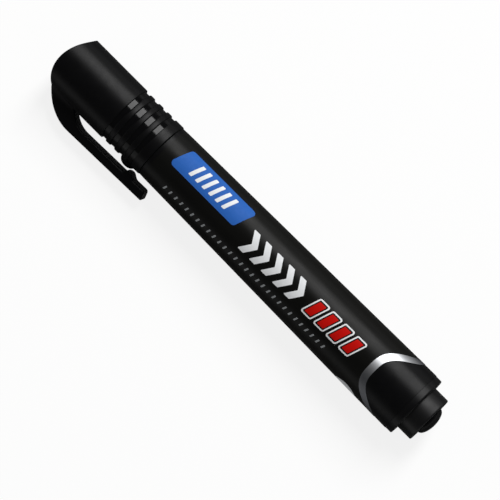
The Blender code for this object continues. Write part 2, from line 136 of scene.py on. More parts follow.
def add_node(
    tree: bpy.types.NodeTree,
    kind: str,
    settings: dict[str | int, object] | None = None,
    links: dict[str | int, bpy.types.NodeSocket | bpy.types.Node] | None = None,
) -> bpy.types.Node:
    """Add a node with its settings and its incoming links.

    Args:
        tree: The node tree to add to.
        kind: The node's type.
        settings: Values of the node's own properties, or of its inputs by name or number.
        links: What feeds its inputs, by the input's name or number: a socket, or a node's first output.

    Returns:
        The new node.
    """
    node = tree.nodes.new(kind)
    for key, value in (settings or {}).items():
        if isinstance(key, str) and hasattr(node, key):
            setattr(node, key, value)
        else:
            node.inputs[key].default_value = value
    for key, source in (links or {}).items():
        socket = source.outputs[0] if isinstance(source, bpy.types.Node) else source
        tree.links.new(socket, node.inputs[key])
    return node


@dataclass(frozen=True)
class Finish:
    """One material, from what it is made of and how its surface was made.

    The fleck is a slow change of colour and gloss, and the grain is a fine relief. Both sizes are real
    lengths, and stretch makes them longer along the pen. The edge haze is what the grain adds to the
    roughness where the surface is seen edge-on and its bumps hide the hollows between them.
    """

    name: str
    colour: str
    fleck_colour: str
    roughness: float
    roughness_spread: float
    fleck_size: float
    grain_size: float
    grain_height: float
    edge_haze: float = 0.0
    haze_start: float = 0.2
    haze_end: float = 0.55
    stretch: float = 1.0
    ior: float = 1.49
    specular: float = 0.5
    metallic: float = 0.0
    edge_tint: str = "#ffffff"
    subsurface: float = 0.0
    transmission: float = 0.0

    def material(self) -> bpy.types.Material:
        """Build the material, once.

        Returns:
            The material.
        """
        material = bpy.data.materials.get(self.name)
        if material is None:
            material = bpy.data.materials.new(self.name)
            material.use_nodes = True
            self.dress(material.node_tree)
        return material

    def dress(self, tree: bpy.types.NodeTree) -> None:
        """Fill a material's node tree.

        Args:
            tree: The new material's tree, which holds its shader and output.
        """
        shader = tree.nodes["Principled BSDF"]
        all_over = {
            "IOR": self.ior,
            "Specular IOR Level": self.specular,
            "Metallic": self.metallic,
            "Specular Tint": linear(self.edge_tint),
            "Subsurface Weight": self.subsurface,
            "Subsurface Scale": self.grain_size,
            "Transmission Weight": self.transmission,
        }
        for socket, value in all_over.items():
            shader.inputs[socket].default_value = value
        coords = add_node(tree, "ShaderNodeTexCoord")
        placed = add_node(
            tree,
            "ShaderNodeMapping",
            {"Scale": (1 / self.stretch, 1.0, 1.0)},
            {"Vector": coords.outputs["Object"]},
        )
        fleck = add_node(
            tree,
            "ShaderNodeTexNoise",
            {"Scale": 1 / self.fleck_size, "Detail": FLECK_DETAIL},
            {"Vector": placed},
        )
        grain = add_node(
            tree,
            "ShaderNodeTexNoise",
            {"Scale": 1 / self.grain_size, "Detail": GRAIN_DETAIL},
            {"Vector": placed},
        )
        colour = add_node(
            tree,
            "ShaderNodeMix",
            {"data_type": "RGBA", MIX_FIRST: linear(self.colour), MIX_SECOND: linear(self.fleck_colour)},
            {MIX_SHARE: fleck},
        )
        gloss = add_node(
            tree,
            "ShaderNodeMapRange",
            {
                "From Min": NOISE_LOW,
                "From Max": NOISE_HIGH,
                "To Min": self.roughness - self.roughness_spread,
                "To Max": self.roughness + self.roughness_spread,
            },
            {"Value": fleck},
        )
        edge_on = add_node(tree, "ShaderNodeLayerWeight")
        haze = add_node(
            tree,
            "ShaderNodeMapRange",
            {
                "interpolation_type": "SMOOTHSTEP",
                "From Min": self.haze_start,
                "From Max": self.haze_end,
                "To Max": self.edge_haze,
            },
            {"Value": edge_on.outputs["Facing"]},
        )
        roughness = add_node(
            tree, "ShaderNodeMath", {"operation": "ADD", "use_clamp": True}, {0: gloss, 1: haze}
        )
        relief = add_node(tree, "ShaderNodeBump", {"Distance": self.grain_height}, {"Height": grain})
        tree.links.new(colour.outputs[MIX_RESULT], shader.inputs["Base Color"])
        tree.links.new(roughness.outputs[0], shader.inputs["Roughness"])
        tree.links.new(relief.outputs[0], shader.inputs["Normal"])


# Injection-moulded polypropylene from a spark-eroded mould: a satin black that spreads the light into a
# broad soft streak. The eroded grain is about 0.05 mm, and is drawn coarser so that it shows.
SATIN_POLYPROPYLENE = Finish(
    name="satin_moulded_polypropylene",
    colour="#070708",
    fleck_colour="#0a0a0b",
    roughness=0.37,
    roughness_spread=0.03,
    fleck_size=0.0025,
    grain_size=0.00035,
    grain_height=0.000006,
    edge_haze=0.60,
    specular=0.085,
)

# The same polypropylene where the mould was polished: crisp, dark reflections.
POLISHED_POLYPROPYLENE = Finish(
    name="polished_moulded_polypropylene",
    colour="#040405",
    fleck_colour="#070708",
    roughness=0.12,
    roughness_spread=0.02,
    fleck_size=0.002,
    grain_size=0.0006,
    grain_height=0.000001,
    edge_haze=0.80,
    haze_start=0.26,
    specular=0.103,
)

# The same polypropylene on the tail plug, whose mould was only stoned: a slightly brighter streak.
STONED_POLYPROPYLENE = replace(
    SATIN_POLYPROPYLENE,
    name="stoned_moulded_polypropylene",
    roughness=0.38,
    grain_size=0.0004,
    grain_height=0.000003,
    specular=0.116,
)

# The plug's spigot, whose part of the mould was left as turned: a broader and brighter streak.
AS_TURNED_POLYPROPYLENE = replace(
    STONED_POLYPROPYLENE, name="as_turned_moulded_polypropylene", roughness=0.46, specular=0.210
)

# Black polypropylene film, gravure printed: a touch warmer than the moulded plastic, with faint streaks
# along the web.
GRAVURE_FILM = Finish(
    name="gravure_printed_film",
    colour="#0b0b0a",
    fleck_colour="#10100e",
    roughness=0.38,
    roughness_spread=0.03,
    fleck_size=0.0018,
    grain_size=0.0004,
    grain_height=0.000004,
    edge_haze=0.60,
    stretch=4.0,
    specular=0.078,
)


def screen_ink(name: str, colour: str, darker_colour: str) -> Finish:
    """Opaque ink pressed through a mesh: flat and even, thinner in places where the mesh held it back.

    Args:
        name: The ink's name.
        colour: The full film of ink.
        darker_colour: The thinner film.

    Returns:
        The finish.
    """
    return Finish(
        name=name,
        colour=colour,
        fleck_colour=darker_colour,
        roughness=0.48,
        roughness_spread=0.05,
        fleck_size=0.0009,
        grain_size=0.0003,
        grain_height=0.000003,
        edge_haze=0.45,
        specular=0.05,
    )


# Screen inks of the print: dense, dull colours that keep their tone across the streak on the film.
WHITE_INK = screen_ink("white_screen_ink", "#eceeef", "#dfe1e3")
BLUE_INK = screen_ink("blue_screen_ink", "#2d64b6", "#295caa")
RED_INK = screen_ink("red_screen_ink", "#c8120b", "#b40e09")
GREY_INK = screen_ink("grey_screen_ink", "#a3a6a8", "#94979a")


@dataclass(frozen=True)
class HighlightPaintedInk(Finish):
    """An ink with a painted highlight: its colour fades to a darker colour of painted shade, by the share its
    mesh carries.
    """

    # The darker colour of painted shade, and the name of the attribute that holds each point's share of
    # painted highlight.
    darker_colour: str = "#000000"
    strength: str = "painted_highlight_share"

    def dress(self, tree: bpy.types.NodeTree) -> None:
        """Fill the ink's node tree, with the darker colour of painted shade where the mesh carries no painted
        highlight.

        Args:
            tree: The new material's tree.
        """
        super().dress(tree)
        base = tree.nodes["Principled BSDF"].inputs["Base Color"]
        full = base.links[0].from_socket
        strength = add_node(tree, "ShaderNodeAttribute", {"attribute_name": self.strength})
        colour = add_node(
            tree,
            "ShaderNodeMix",
            {"data_type": "RGBA", MIX_FIRST: linear(self.darker_colour)},
            {MIX_SHARE: strength.outputs["Fac"], MIX_SECOND: full},
        )
        tree.links.new(colour.outputs[MIX_RESULT], base)


# Aluminium-flake ink with a painted highlight: its colour goes from a charcoal of painted shade down both
# sides to silver where it faces the lamp. It also flares there, with a fine sparkle from the flakes, which
# are about
# 0.03 mm and are drawn coarser so that they show.
HIGHLIGHT_PAINTED_SILVER_INK = HighlightPaintedInk(
    name="aluminium_flake_ink",
    colour="#d3d4d6",
    fleck_colour="#c3c5c8",
    darker_colour="#58595c",
    roughness=0.48,
    roughness_spread=0.05,
    fleck_size=0.0004,
    grain_size=0.0002,
    grain_height=0.000006,
    ior=1.5,
    metallic=0.9,
    edge_tint="#5a5a5a",
)

# The same flake ink, printed in one thin film: an even, darker grey.
PEWTER_INK = Finish(
    name="flat_aluminium_flake_ink",
    colour="#8f9193",
    fleck_colour="#808285",
    roughness=0.45,
    roughness_spread=0.05,
    fleck_size=0.0004,
    grain_size=0.0002,
    grain_height=0.000006,
    ior=1.5,
    metallic=0.9,
)

# Low-density polyethylene with no pigment, moulded: milky, waxy and slightly see-through.
NATURAL_POLYETHYLENE = Finish(
    name="natural_moulded_polyethylene",
    colour="#e6e5df",
    fleck_colour="#dcdad2",
    roughness=0.42,
    roughness_spread=0.06,
    fleck_size=0.003,
    grain_size=0.0005,
    grain_height=0.000005,
    ior=1.51,
    subsurface=0.35,
)

# Polyester fibres bonded in line and soaked with ink: dull black with fine streaks along the pen. Single
# fibres are about 0.02 mm, and are drawn coarser so that they show.
INKED_FIBRE = Finish(
    name="inked_bonded_polyester_fibre",
    colour="#0b0b0e",
    fleck_colour="#1c1c22",
    roughness=0.78,
    roughness_spread=0.10,
    fleck_size=0.00016,
    grain_size=0.00012,
    grain_height=0.00004,
    stretch=14.0,
    ior=1.57,
    specular=0.25,
)

# Clear cast polypropylene film round the fibre rod: thin, shiny and faintly milky.
CLEAR_FILM = Finish(
    name="clear_cast_polypropylene_film",
    colour="#e4e7e9",
    fleck_colour="#d9dde0",
    roughness=0.16,
    roughness_spread=0.05,
    fleck_size=0.004,
    grain_size=0.001,
    grain_height=0.00001,
    stretch=6.0,
    transmission=0.7,
)


@dataclass(frozen=True)
class LitGround(Finish):
    """A pale ground that the camera, and what mirrors or shows through, see partly lit from behind."""

    glow: float = 0.85

    def dress(self, tree: bpy.types.NodeTree) -> None:
        """Fill the ground's node tree, with white light on the rays that show it.

        Args:
            tree: The new material's tree.
        """
        super().dress(tree)
        rays = add_node(tree, "ShaderNodeLightPath").outputs
        mirrored = add_node(
            tree,
            "ShaderNodeMath",
            {"operation": "MAXIMUM"},
            {0: rays["Is Glossy Ray"], 1: rays["Is Transmission Ray"]},
        )
        seen = add_node(
            tree, "ShaderNodeMath", {"operation": "MAXIMUM"}, {0: rays["Is Camera Ray"], 1: mirrored}
        )
        share = add_node(tree, "ShaderNodeMath", {"operation": "MULTIPLY", 1: self.glow}, {0: seen})
        light = add_node(tree, "ShaderNodeEmission", {"Color": linear("#ffffff"), "Strength": 1.0})
        board = tree.nodes["Principled BSDF"]
        mixed = add_node(tree, "ShaderNodeMixShader", links={0: share, 1: board, 2: light})
        tree.links.new(mixed.outputs[0], tree.nodes["Material Output"].inputs["Surface"])


# Matt painted board: a plain pale ground with a hardly visible tooth.
PAINTED_BOARD = LitGround(
    name="matt_painted_board",
    colour="#f4f4f3",
    fleck_colour="#f2f2f1",
    roughness=0.9,
    roughness_spread=0.03,
    fleck_size=0.05,
    grain_size=0.002,
    grain_height=0.00001,
    specular=0.1,
)


@dataclass(frozen=True)
class Corner:
    """A corner of a profile or an outline, and the radius that rounds it off."""

    along: float
    out: float
    rounding: float = 0.0


def rounded(corners: Sequence[Corner], closed: bool, hold: float = 0.6) -> list[Point]:
    """Round off the corners of a profile or an outline.

    Args:
        corners: The sharp corners in order.
        closed: Whether the last corner joins the first.
        hold: Share of a rounding's reach at which a further point is put on each straight run beside it,
            so that smooth shading stays flat on the run. Zero puts none.

    Returns:
        The points, with an arc for each rounded corner.
    """
    points: list[Point] = []
    count = len(corners)
    for index, corner in enumerate(corners):
        here = Vector((corner.along, corner.out))
        at_end = not closed and index in (0, count - 1)
        if at_end or corner.rounding <= 0:
            points.append((here.x, here.y))
            continue
        last = corners[index - 1]
        following = corners[(index + 1) % count]
        back = Vector((last.along, last.out)) - here
        ahead = Vector((following.along, following.out)) - here
        half = back.angle(ahead) / 2
        room = RUN_SHARE * min(back.length, ahead.length)
        reach = min(corner.rounding / math.tan(half), room)
        radius = reach * math.tan(half)
        back.normalize()
        ahead.normalize()
        centre = here + (back + ahead).normalized() * (radius / math.sin(half))
        first = here + back * reach - centre
        final = here + ahead * reach - centre
        turn = math.atan2(first.x * final.y - first.y * final.x, first.dot(final))
        arc = []
        for step in range(ARC_STEPS + 1):
            spoke = Matrix.Rotation(turn * step / ARC_STEPS, 2) @ first
            arc.append(centre + spoke)
        if hold > 0:
            arc.insert(0, here + back * reach * (1 + hold))
            arc.append(here + ahead * reach * (1 + hold))
        points += [(point.x, point.y) for point in arc]
    return points


def dome(base: float, radius: float, height: float, steps: int = 28) -> list[Point]:
    """Profile of a spherical cap.

    Args:
        base: Where its base lies along the axis.
        radius: Radius of its base.
        height: How far it bulges; negative bulges to smaller along.
        steps: How many pieces the profile has.

    Returns:
        Points from the base to the apex.
    """
    rise = abs(height)
    sphere = (radius ** 2 + rise ** 2) / (2 * rise)
    half_angle = 2 * math.atan2(rise, radius)
    side = math.copysign(1.0, height)
    points = []
    for step in range(steps + 1):
        angle = half_angle * (1 - step / steps)
        points.append((base + side * (rise - sphere + sphere * math.cos(angle)), sphere * math.sin(angle)))
    return points


def join_rings(shape: bmesh.types.BMesh, first: Ring, second: Ring) -> None:
    """Join two rings of vertices with faces, where a ring of one vertex is a pole.

    Args:
        shape: The mesh that holds both rings.
        first: One ring.
        second: The next ring.
    """
    count = max(len(first), len(second))
    for index in range(count):
        ahead = (index + 1) % count
        corners = [first[index % len(first)]]
        if len(first) > 1:
            corners.append(first[ahead])
        if len(second) > 1:
            corners.append(second[ahead])
        corners.append(second[index % len(second)])
        shape.faces.new(corners)


def fill_mesh(mesh: bpy.types.Mesh, shape: bmesh.types.BMesh) -> None:
    """Fill a mesh with a closed shape, with faces outward, smooth but for its sharp corners.

    Args:
        mesh: The mesh, which keeps its materials.
        shape: The shape, which is freed.
    """
    bmesh.ops.remove_doubles(shape, verts=shape.verts, dist=MERGE_DISTANCE)
    bmesh.ops.recalc_face_normals(shape, faces=shape.faces)
    shape.to_mesh(mesh)
    shape.free()
    mesh.shade_smooth()
    mesh.set_sharp_from_angle(angle=SHARP_ANGLE)


def finished_mesh(name: str, shape: bmesh.types.BMesh) -> bpy.types.Mesh:
    """Turn a closed shape into a mesh.

    Args:
        name: The mesh's name.
        shape: The shape, which is freed.

    Returns:
        The mesh.
    """
    mesh = bpy.data.meshes.new(name)
    fill_mesh(mesh, shape)
    return mesh


def lofted(name: str, sections: Sequence[Sequence[Place]], looped: bool) -> bpy.types.Mesh:
    """Loft a closed shape through sections, where a section of one point is a pole.

    Args:
        name: The mesh's name.
        sections: The points round each section.
        looped: Whether the last section joins the first. If not, a face closes each end that isn't a pole.

    Returns:
        The mesh.
    """
    shape = bmesh.new()
    rings = [[shape.verts.new(point) for point in section] for section in sections]
    following = rings[1:] + rings[:1] if looped else rings[1:]
    for first, second in zip(rings, following):
        join_rings(shape, first, second)
    ends = () if looped else (rings[0], rings[-1])
    for ring in ends:
        if len(ring) > 1:
            shape.faces.new(ring)
    return finished_mesh(name, shape)


def wrapped_band(
    name: str,
    start: Callable[[float], float],
    end: Callable[[float], float],
    inner: Callable[[float], float],
    outer: Callable[[float], float],
) -> bpy.types.Mesh:
    """Make a closed band round the axis whose two edges may wander.

    Args:
        name: The mesh's name.
        start: Where the band starts along the axis, at an angle from the line that faces the viewer.
        end: Where it ends.
        inner: Its inner radius at a place along the axis.
        outer: Its outer radius there.

    Returns:
        The mesh, in the pen's frame.
    """
    rings: list[list[Place]] = [[], [], [], []]
    for index in range(BAND_SEGMENTS):
        angle = math.tau * index / BAND_SEGMENTS
        turn = PRINT_FACE_ANGLE + angle
        low = start(angle)
        high = end(angle)
        section = ((low, outer(low)), (high, outer(high)), (high, inner(high)), (low, inner(low)))
        for ring, (along, out) in zip(rings, section):
            ring.append((along, out * math.cos(turn), -out * math.sin(turn)))
    return lofted(name, rings, looped=True)


def linked(name: str, data: bpy.types.ID) -> bpy.types.Object:
    """Put an object in the scene.

    Args:
        name: The object's name.
        data: Its mesh, lamp or camera.

    Returns:
        The object, at the origin.
    """
    item = bpy.data.objects.new(name, data)
    bpy.context.scene.collection.objects.link(item)
    return item


def pose(axes: Sequence[Vector], place: Vector) -> Matrix:
    """Put a frame together.

    Args:
        axes: Its three axes.
        place: Its origin.

    Returns:
        The frame's matrix.
    """
    matrix = Matrix(axes).transposed().to_4x4()
    matrix.translation = place
    return matrix


@dataclass(frozen=True)
class Pen:
    """Where the pen lies, and how its pieces are set down there."""

    matrix: Matrix

    @classmethod
    def lying_in_frame(cls) -> "Pen":
        """Read the pen's axes from the joints, and its seam from the barrel's front rim.

        Returns:
            The pen.
        """
        axes = {joint["name"]: Vector(joint["axis"]).normalized() for joint in frame["joints"]}
        tail = -axes["cap_pull"]
        across = -axes["clip_flex"]
        clip = tail.cross(across)
        vertices = np.array([vertex.co for vertex in frame["nodes"]["barrel"].data.vertices])
        alongs = vertices @ np.array(tail)
        rim = vertices[alongs < alongs.min() + RIM_DEPTH]
        seam = tail * float(alongs.min())
        for side in (across, clip):
            reach = rim @ np.array(side)
            seam += side * float((reach.min() + reach.max()) / 2)
        return cls(pose((tail, across, clip), seam))

    def axis(self, index: int) -> Vector:
        """One of the pen's axes in the shared frame: 0 to the tail, 1 across, 2 to the clip."""
        return self.matrix.col[index].to_3d()

    def point(self, along: float, across: float = 0.0, out: float = 0.0) -> Vector:
        """A point of the pen's frame in the shared frame."""
        return self.matrix @ Vector((along, across, out))

    def piece(
        self, mesh: bpy.types.Mesh, slot: Slot, finishes: Sequence[Finish] = ()
    ) -> bpy.types.Object:
        """Lay a mesh of the pen's frame in place as a piece.

        Args:
            mesh: The mesh, in the pen's frame.
            slot: Not used; the record's slot that its finish would stand for.
            finishes: The finishes of its material numbers, after those that it already has.

        Returns:
            The piece, which doesn't ride on a body yet.
        """
        mesh.transform(self.matrix)
        for finish in finishes:
            mesh.materials.append(finish.material())
        item = linked(mesh.name, mesh)
        return item


def applied(item: bpy.types.Object) -> bpy.types.Mesh:
    """Replace an object with the plain mesh that its modifiers make.

    Args:
        item: The object, which is removed.

    Returns:
        The mesh, under the object's name.
    """
    name = item.name
    depsgraph = bpy.context.evaluated_depsgraph_get()
    mesh = bpy.data.meshes.new_from_object(item.evaluated_get(depsgraph))
    source = item.data
    bpy.data.objects.remove(item)
    bpy.data.meshes.remove(source)
    mesh.name = name
    # A mesh that a node tree makes from nothing starts with an empty material place.
    if mesh.materials[0] is None:
        mesh.materials.pop(index=0)
    shape = bmesh.new()
    shape.from_mesh(mesh)
    fill_mesh(mesh, shape)
    return mesh


@dataclass(frozen=True)
class Recipe:
    """A Geometry Nodes tree that is built here, with named inputs."""

    tree: bpy.types.NodeTree

    @classmethod
    def new(cls, name: str, inputs: dict[str, str]) -> "Recipe":
        """Start a tree.

        Args:
            name: The tree's name.
            inputs: The socket type of each named input.

        Returns:
            The recipe, whose tree has no nodes yet.
        """
        tree = bpy.data.node_groups.new(name, "GeometryNodeTree")
        tree.interface.new_socket("Geometry", in_out="INPUT", socket_type="NodeSocketGeometry")
        for label, kind in inputs.items():
            tree.interface.new_socket(label, in_out="INPUT", socket_type=kind)
        tree.interface.new_socket("Geometry", in_out="OUTPUT", socket_type="NodeSocketGeometry")
        return cls(tree)

    def run(self, mesh: bpy.types.Mesh, values: dict[str, object]) -> bpy.types.Mesh:
        """Make a plain mesh with the tree.

        Args:
            mesh: The geometry that goes in.
            values: A value for each named input.

        Returns:
            The mesh that comes out, under the first one's name.
        """
        item = linked(mesh.name, mesh)
        modifier = item.modifiers.new(self.tree.name, "NODES")
        modifier.node_group = self.tree
        for socket in self.tree.interface.items_tree:
            if socket.in_out == "INPUT" and socket.name in values:
                modifier[socket.identifier] = values[socket.name]
        return applied(item)

    def end(self, shape: bpy.types.Node, material: bpy.types.NodeSocket) -> "Recipe":
        """End the tree in plain geometry of one material.

        Args:
            shape: The node that the geometry comes from.
            material: The named input that the material comes from.

        Returns:
            The recipe.
        """
        plain = add_node(self.tree, "GeometryNodeRealizeInstances", links={0: shape})
        dressed = add_node(
            self.tree, "GeometryNodeSetMaterial", links={"Geometry": plain, "Material": material}
        )
        add_node(self.tree, "NodeGroupOutput", links={0: dressed})
        return self


def round_the_axis(
    tree: bpy.types.NodeTree,
    along: bpy.types.NodeSocket,
    out: bpy.types.NodeSocket | bpy.types.Node,
    angle: bpy.types.Node,
) -> bpy.types.Node:
    """Add the nodes that place points round the pen's axis.

    Args:
        tree: The tree to add to.
        along: A point's place along the axis.
        out: Its distance from the axis.
        angle: Its turn from the across axis to the clip.

    Returns:
        The node that gives the point in the pen's frame.
    """
    sides = {}
    for side, operation in (("Y", "COSINE"), ("Z", "SINE")):
        share = add_node(tree, "ShaderNodeMath", {"operation": operation}, {0: angle})
        sides[side] = add_node(tree, "ShaderNodeMath", {"operation": "MULTIPLY"}, {0: out, 1: share})
    return add_node(tree, "ShaderNodeCombineXYZ", links={"X": along, **sides})


@cache
def turned_recipe() -> Recipe:
    """A profile turned about the pen's axis: a sheet of points, one row for each point of the profile.

    The points that go in lie at their place along the axis on X and their distance from it on Z.

    Returns:
        The recipe.
    """
    recipe = Recipe.new(
        "turned_profile",
        {"Sides": "NodeSocketInt", "Merge Distance": "NodeSocketFloat", "Material": "NodeSocketMaterial"},
    )
    tree = recipe.tree
    given = add_node(tree, "NodeGroupInput").outputs
    rows = add_node(tree, "GeometryNodeAttributeDomainSize", links={"Geometry": given["Geometry"]})
    columns = add_node(tree, "FunctionNodeIntegerMath", {"operation": "ADD", 1: 1}, {0: given["Sides"]})
    sheet = add_node(tree, "GeometryNodeMeshGrid", links={"Vertices X": rows, "Vertices Y": columns})
    number = add_node(tree, "GeometryNodeInputIndex")
    row = add_node(tree, "FunctionNodeIntegerMath", {"operation": "DIVIDE_FLOOR"}, {0: number, 1: columns})
    column = add_node(tree, "FunctionNodeIntegerMath", {"operation": "MODULO"}, {0: number, 1: columns})
    share = add_node(tree, "ShaderNodeMath", {"operation": "DIVIDE"}, {0: column, 1: given["Sides"]})
    angle = add_node(tree, "ShaderNodeMath", {"operation": "MULTIPLY", 1: math.tau}, {0: share})
    place = add_node(tree, "GeometryNodeInputPosition")
    profile = add_node(
        tree,
        "GeometryNodeSampleIndex",
        {"data_type": "FLOAT_VECTOR"},
        {"Geometry": given["Geometry"], "Value": place, "Index": row},
    )
    flat = add_node(tree, "ShaderNodeSeparateXYZ", links={0: profile}).outputs
    bent = round_the_axis(tree, flat["X"], flat["Z"], angle)
    rolled = add_node(tree, "GeometryNodeSetPosition", links={"Geometry": sheet, "Position": bent})
    closed = add_node(
        tree, "GeometryNodeMergeByDistance", links={"Geometry": rolled, "Distance": given["Merge Distance"]}
    )
    return recipe.end(closed, given["Material"])


def turned(name: str, corners: Sequence[Corner], closed: bool, finish: Finish) -> bpy.types.Mesh:
    """Turn a profile about the pen's axis.

    Args:
        name: The mesh's name.
        corners: The profile's corners.
        closed: Whether the profile is a ring's section. An open one starts and ends on the axis.
        finish: The finish of its material 0.

    Returns:
        The mesh, in the pen's frame.
    """
    profile = rounded(corners, closed)
    if closed:
        profile.append(profile[0])
    points = bpy.data.meshes.new(name)
    points.from_pydata([(along, 0.0, out) for along, out in profile], [], [])
    values = {"Sides": ROUND_SEGMENTS, "Merge Distance": MERGE_DISTANCE, "Material": finish.material()}
    return turned_recipe().run(points, values)


def grip_rib_recipe() -> Recipe:
    """Rings of one rounded section, set along the axis at an even pitch.

    Returns:
        The recipe.
    """
    recipe = Recipe.new(
        "grip_ribs",
        {
            "Count": "NodeSocketInt",
            "Start": "NodeSocketFloat",
            "Pitch": "NodeSocketFloat",
            "Crest Radius": "NodeSocketFloat",
            "Width": "NodeSocketFloat",
            "Depth": "NodeSocketFloat",
            "Rounding": "NodeSocketFloat",
            "Material": "NodeSocketMaterial",
        },
    )
    tree = recipe.tree
    given = add_node(tree, "NodeGroupInput").outputs
    half_depth = add_node(tree, "ShaderNodeMath", {"operation": "MULTIPLY", 1: 0.5}, {0: given["Depth"]})
    middle = add_node(
        tree, "ShaderNodeMath", {"operation": "SUBTRACT"}, {0: given["Crest Radius"], 1: half_depth}
    )
    circle = add_node(
        tree, "GeometryNodeCurvePrimitiveCircle", {"Resolution": ROUND_SEGMENTS}, {"Radius": middle}
    )
    section = add_node(
        tree,
        "GeometryNodeCurvePrimitiveQuadrilateral",
        links={"Width": given["Depth"], "Height": given["Width"]},
    )
    soft_section = add_node(
        tree,
        "GeometryNodeFilletCurve",
        {"mode": "POLY", "Count": ARC_STEPS, "Limit Radius": True},
        {"Curve": section, "Radius": given["Rounding"]},
    )
    ring = add_node(tree, "GeometryNodeCurveToMesh", links={"Curve": circle, "Profile Curve": soft_section})
    start = add_node(tree, "ShaderNodeCombineXYZ", links={"X": given["Start"]})
    step = add_node(tree, "ShaderNodeCombineXYZ", links={"X": given["Pitch"]})
    places = add_node(
        tree,
        "GeometryNodeMeshLine",
        links={"Count": given["Count"], "Start Location": start, "Offset": step},
    )
    rings = add_node(
        tree,
        "GeometryNodeInstanceOnPoints",
        {"Rotation": (0.0, math.pi / 2, 0.0)},
        {"Points": places, "Instance": ring},
    )
    return recipe.end(rings, given["Material"])


def print_row_recipe() -> Recipe:
    """A flat mark repeated along the pen and wrapped on the tapered barrel.

    In the mark X runs along the pen, Y runs round it away from the clip and Z stands out from it.

    Returns:
        The recipe.
    """
    recipe = Recipe.new(
        "print_row",
        {
            "Count": "NodeSocketInt",
            "Pitch": "NodeSocketFloat",
            "Seam Radius": "NodeSocketFloat",
            "Taper": "NodeSocketFloat",
            "Face Angle": "NodeSocketFloat",
            "Material": "NodeSocketMaterial",
        },
    )
    tree = recipe.tree
    given = add_node(tree, "NodeGroupInput").outputs
    step = add_node(tree, "ShaderNodeCombineXYZ", links={"X": given["Pitch"]})
    places = add_node(tree, "GeometryNodeMeshLine", links={"Count": given["Count"], "Offset": step})
    marks = add_node(
        tree, "GeometryNodeInstanceOnPoints", links={"Points": places, "Instance": given["Geometry"]}
    )
    row = add_node(tree, "GeometryNodeRealizeInstances", links={0: marks})
    place = add_node(tree, "GeometryNodeInputPosition")
    flat = add_node(tree, "ShaderNodeSeparateXYZ", links={0: place}).outputs
    surface = add_node(
        tree,
        "ShaderNodeMath",
        {"operation": "MULTIPLY_ADD"},
        {0: flat["X"], 1: given["Taper"], 2: given["Seam Radius"]},
    )
    swing = add_node(tree, "ShaderNodeMath", {"operation": "DIVIDE"}, {0: flat["Y"], 1: surface})
    angle = add_node(tree, "ShaderNodeMath", {"operation": "SUBTRACT"}, {0: given["Face Angle"], 1: swing})
    out = add_node(tree, "ShaderNodeMath", {"operation": "ADD"}, {0: surface, 1: flat["Z"]})
    bent = round_the_axis(tree, flat["X"], out, angle)
    wrapped = add_node(tree, "GeometryNodeSetPosition", links={"Geometry": row, "Position": bent})
    return recipe.end(wrapped, given["Material"])


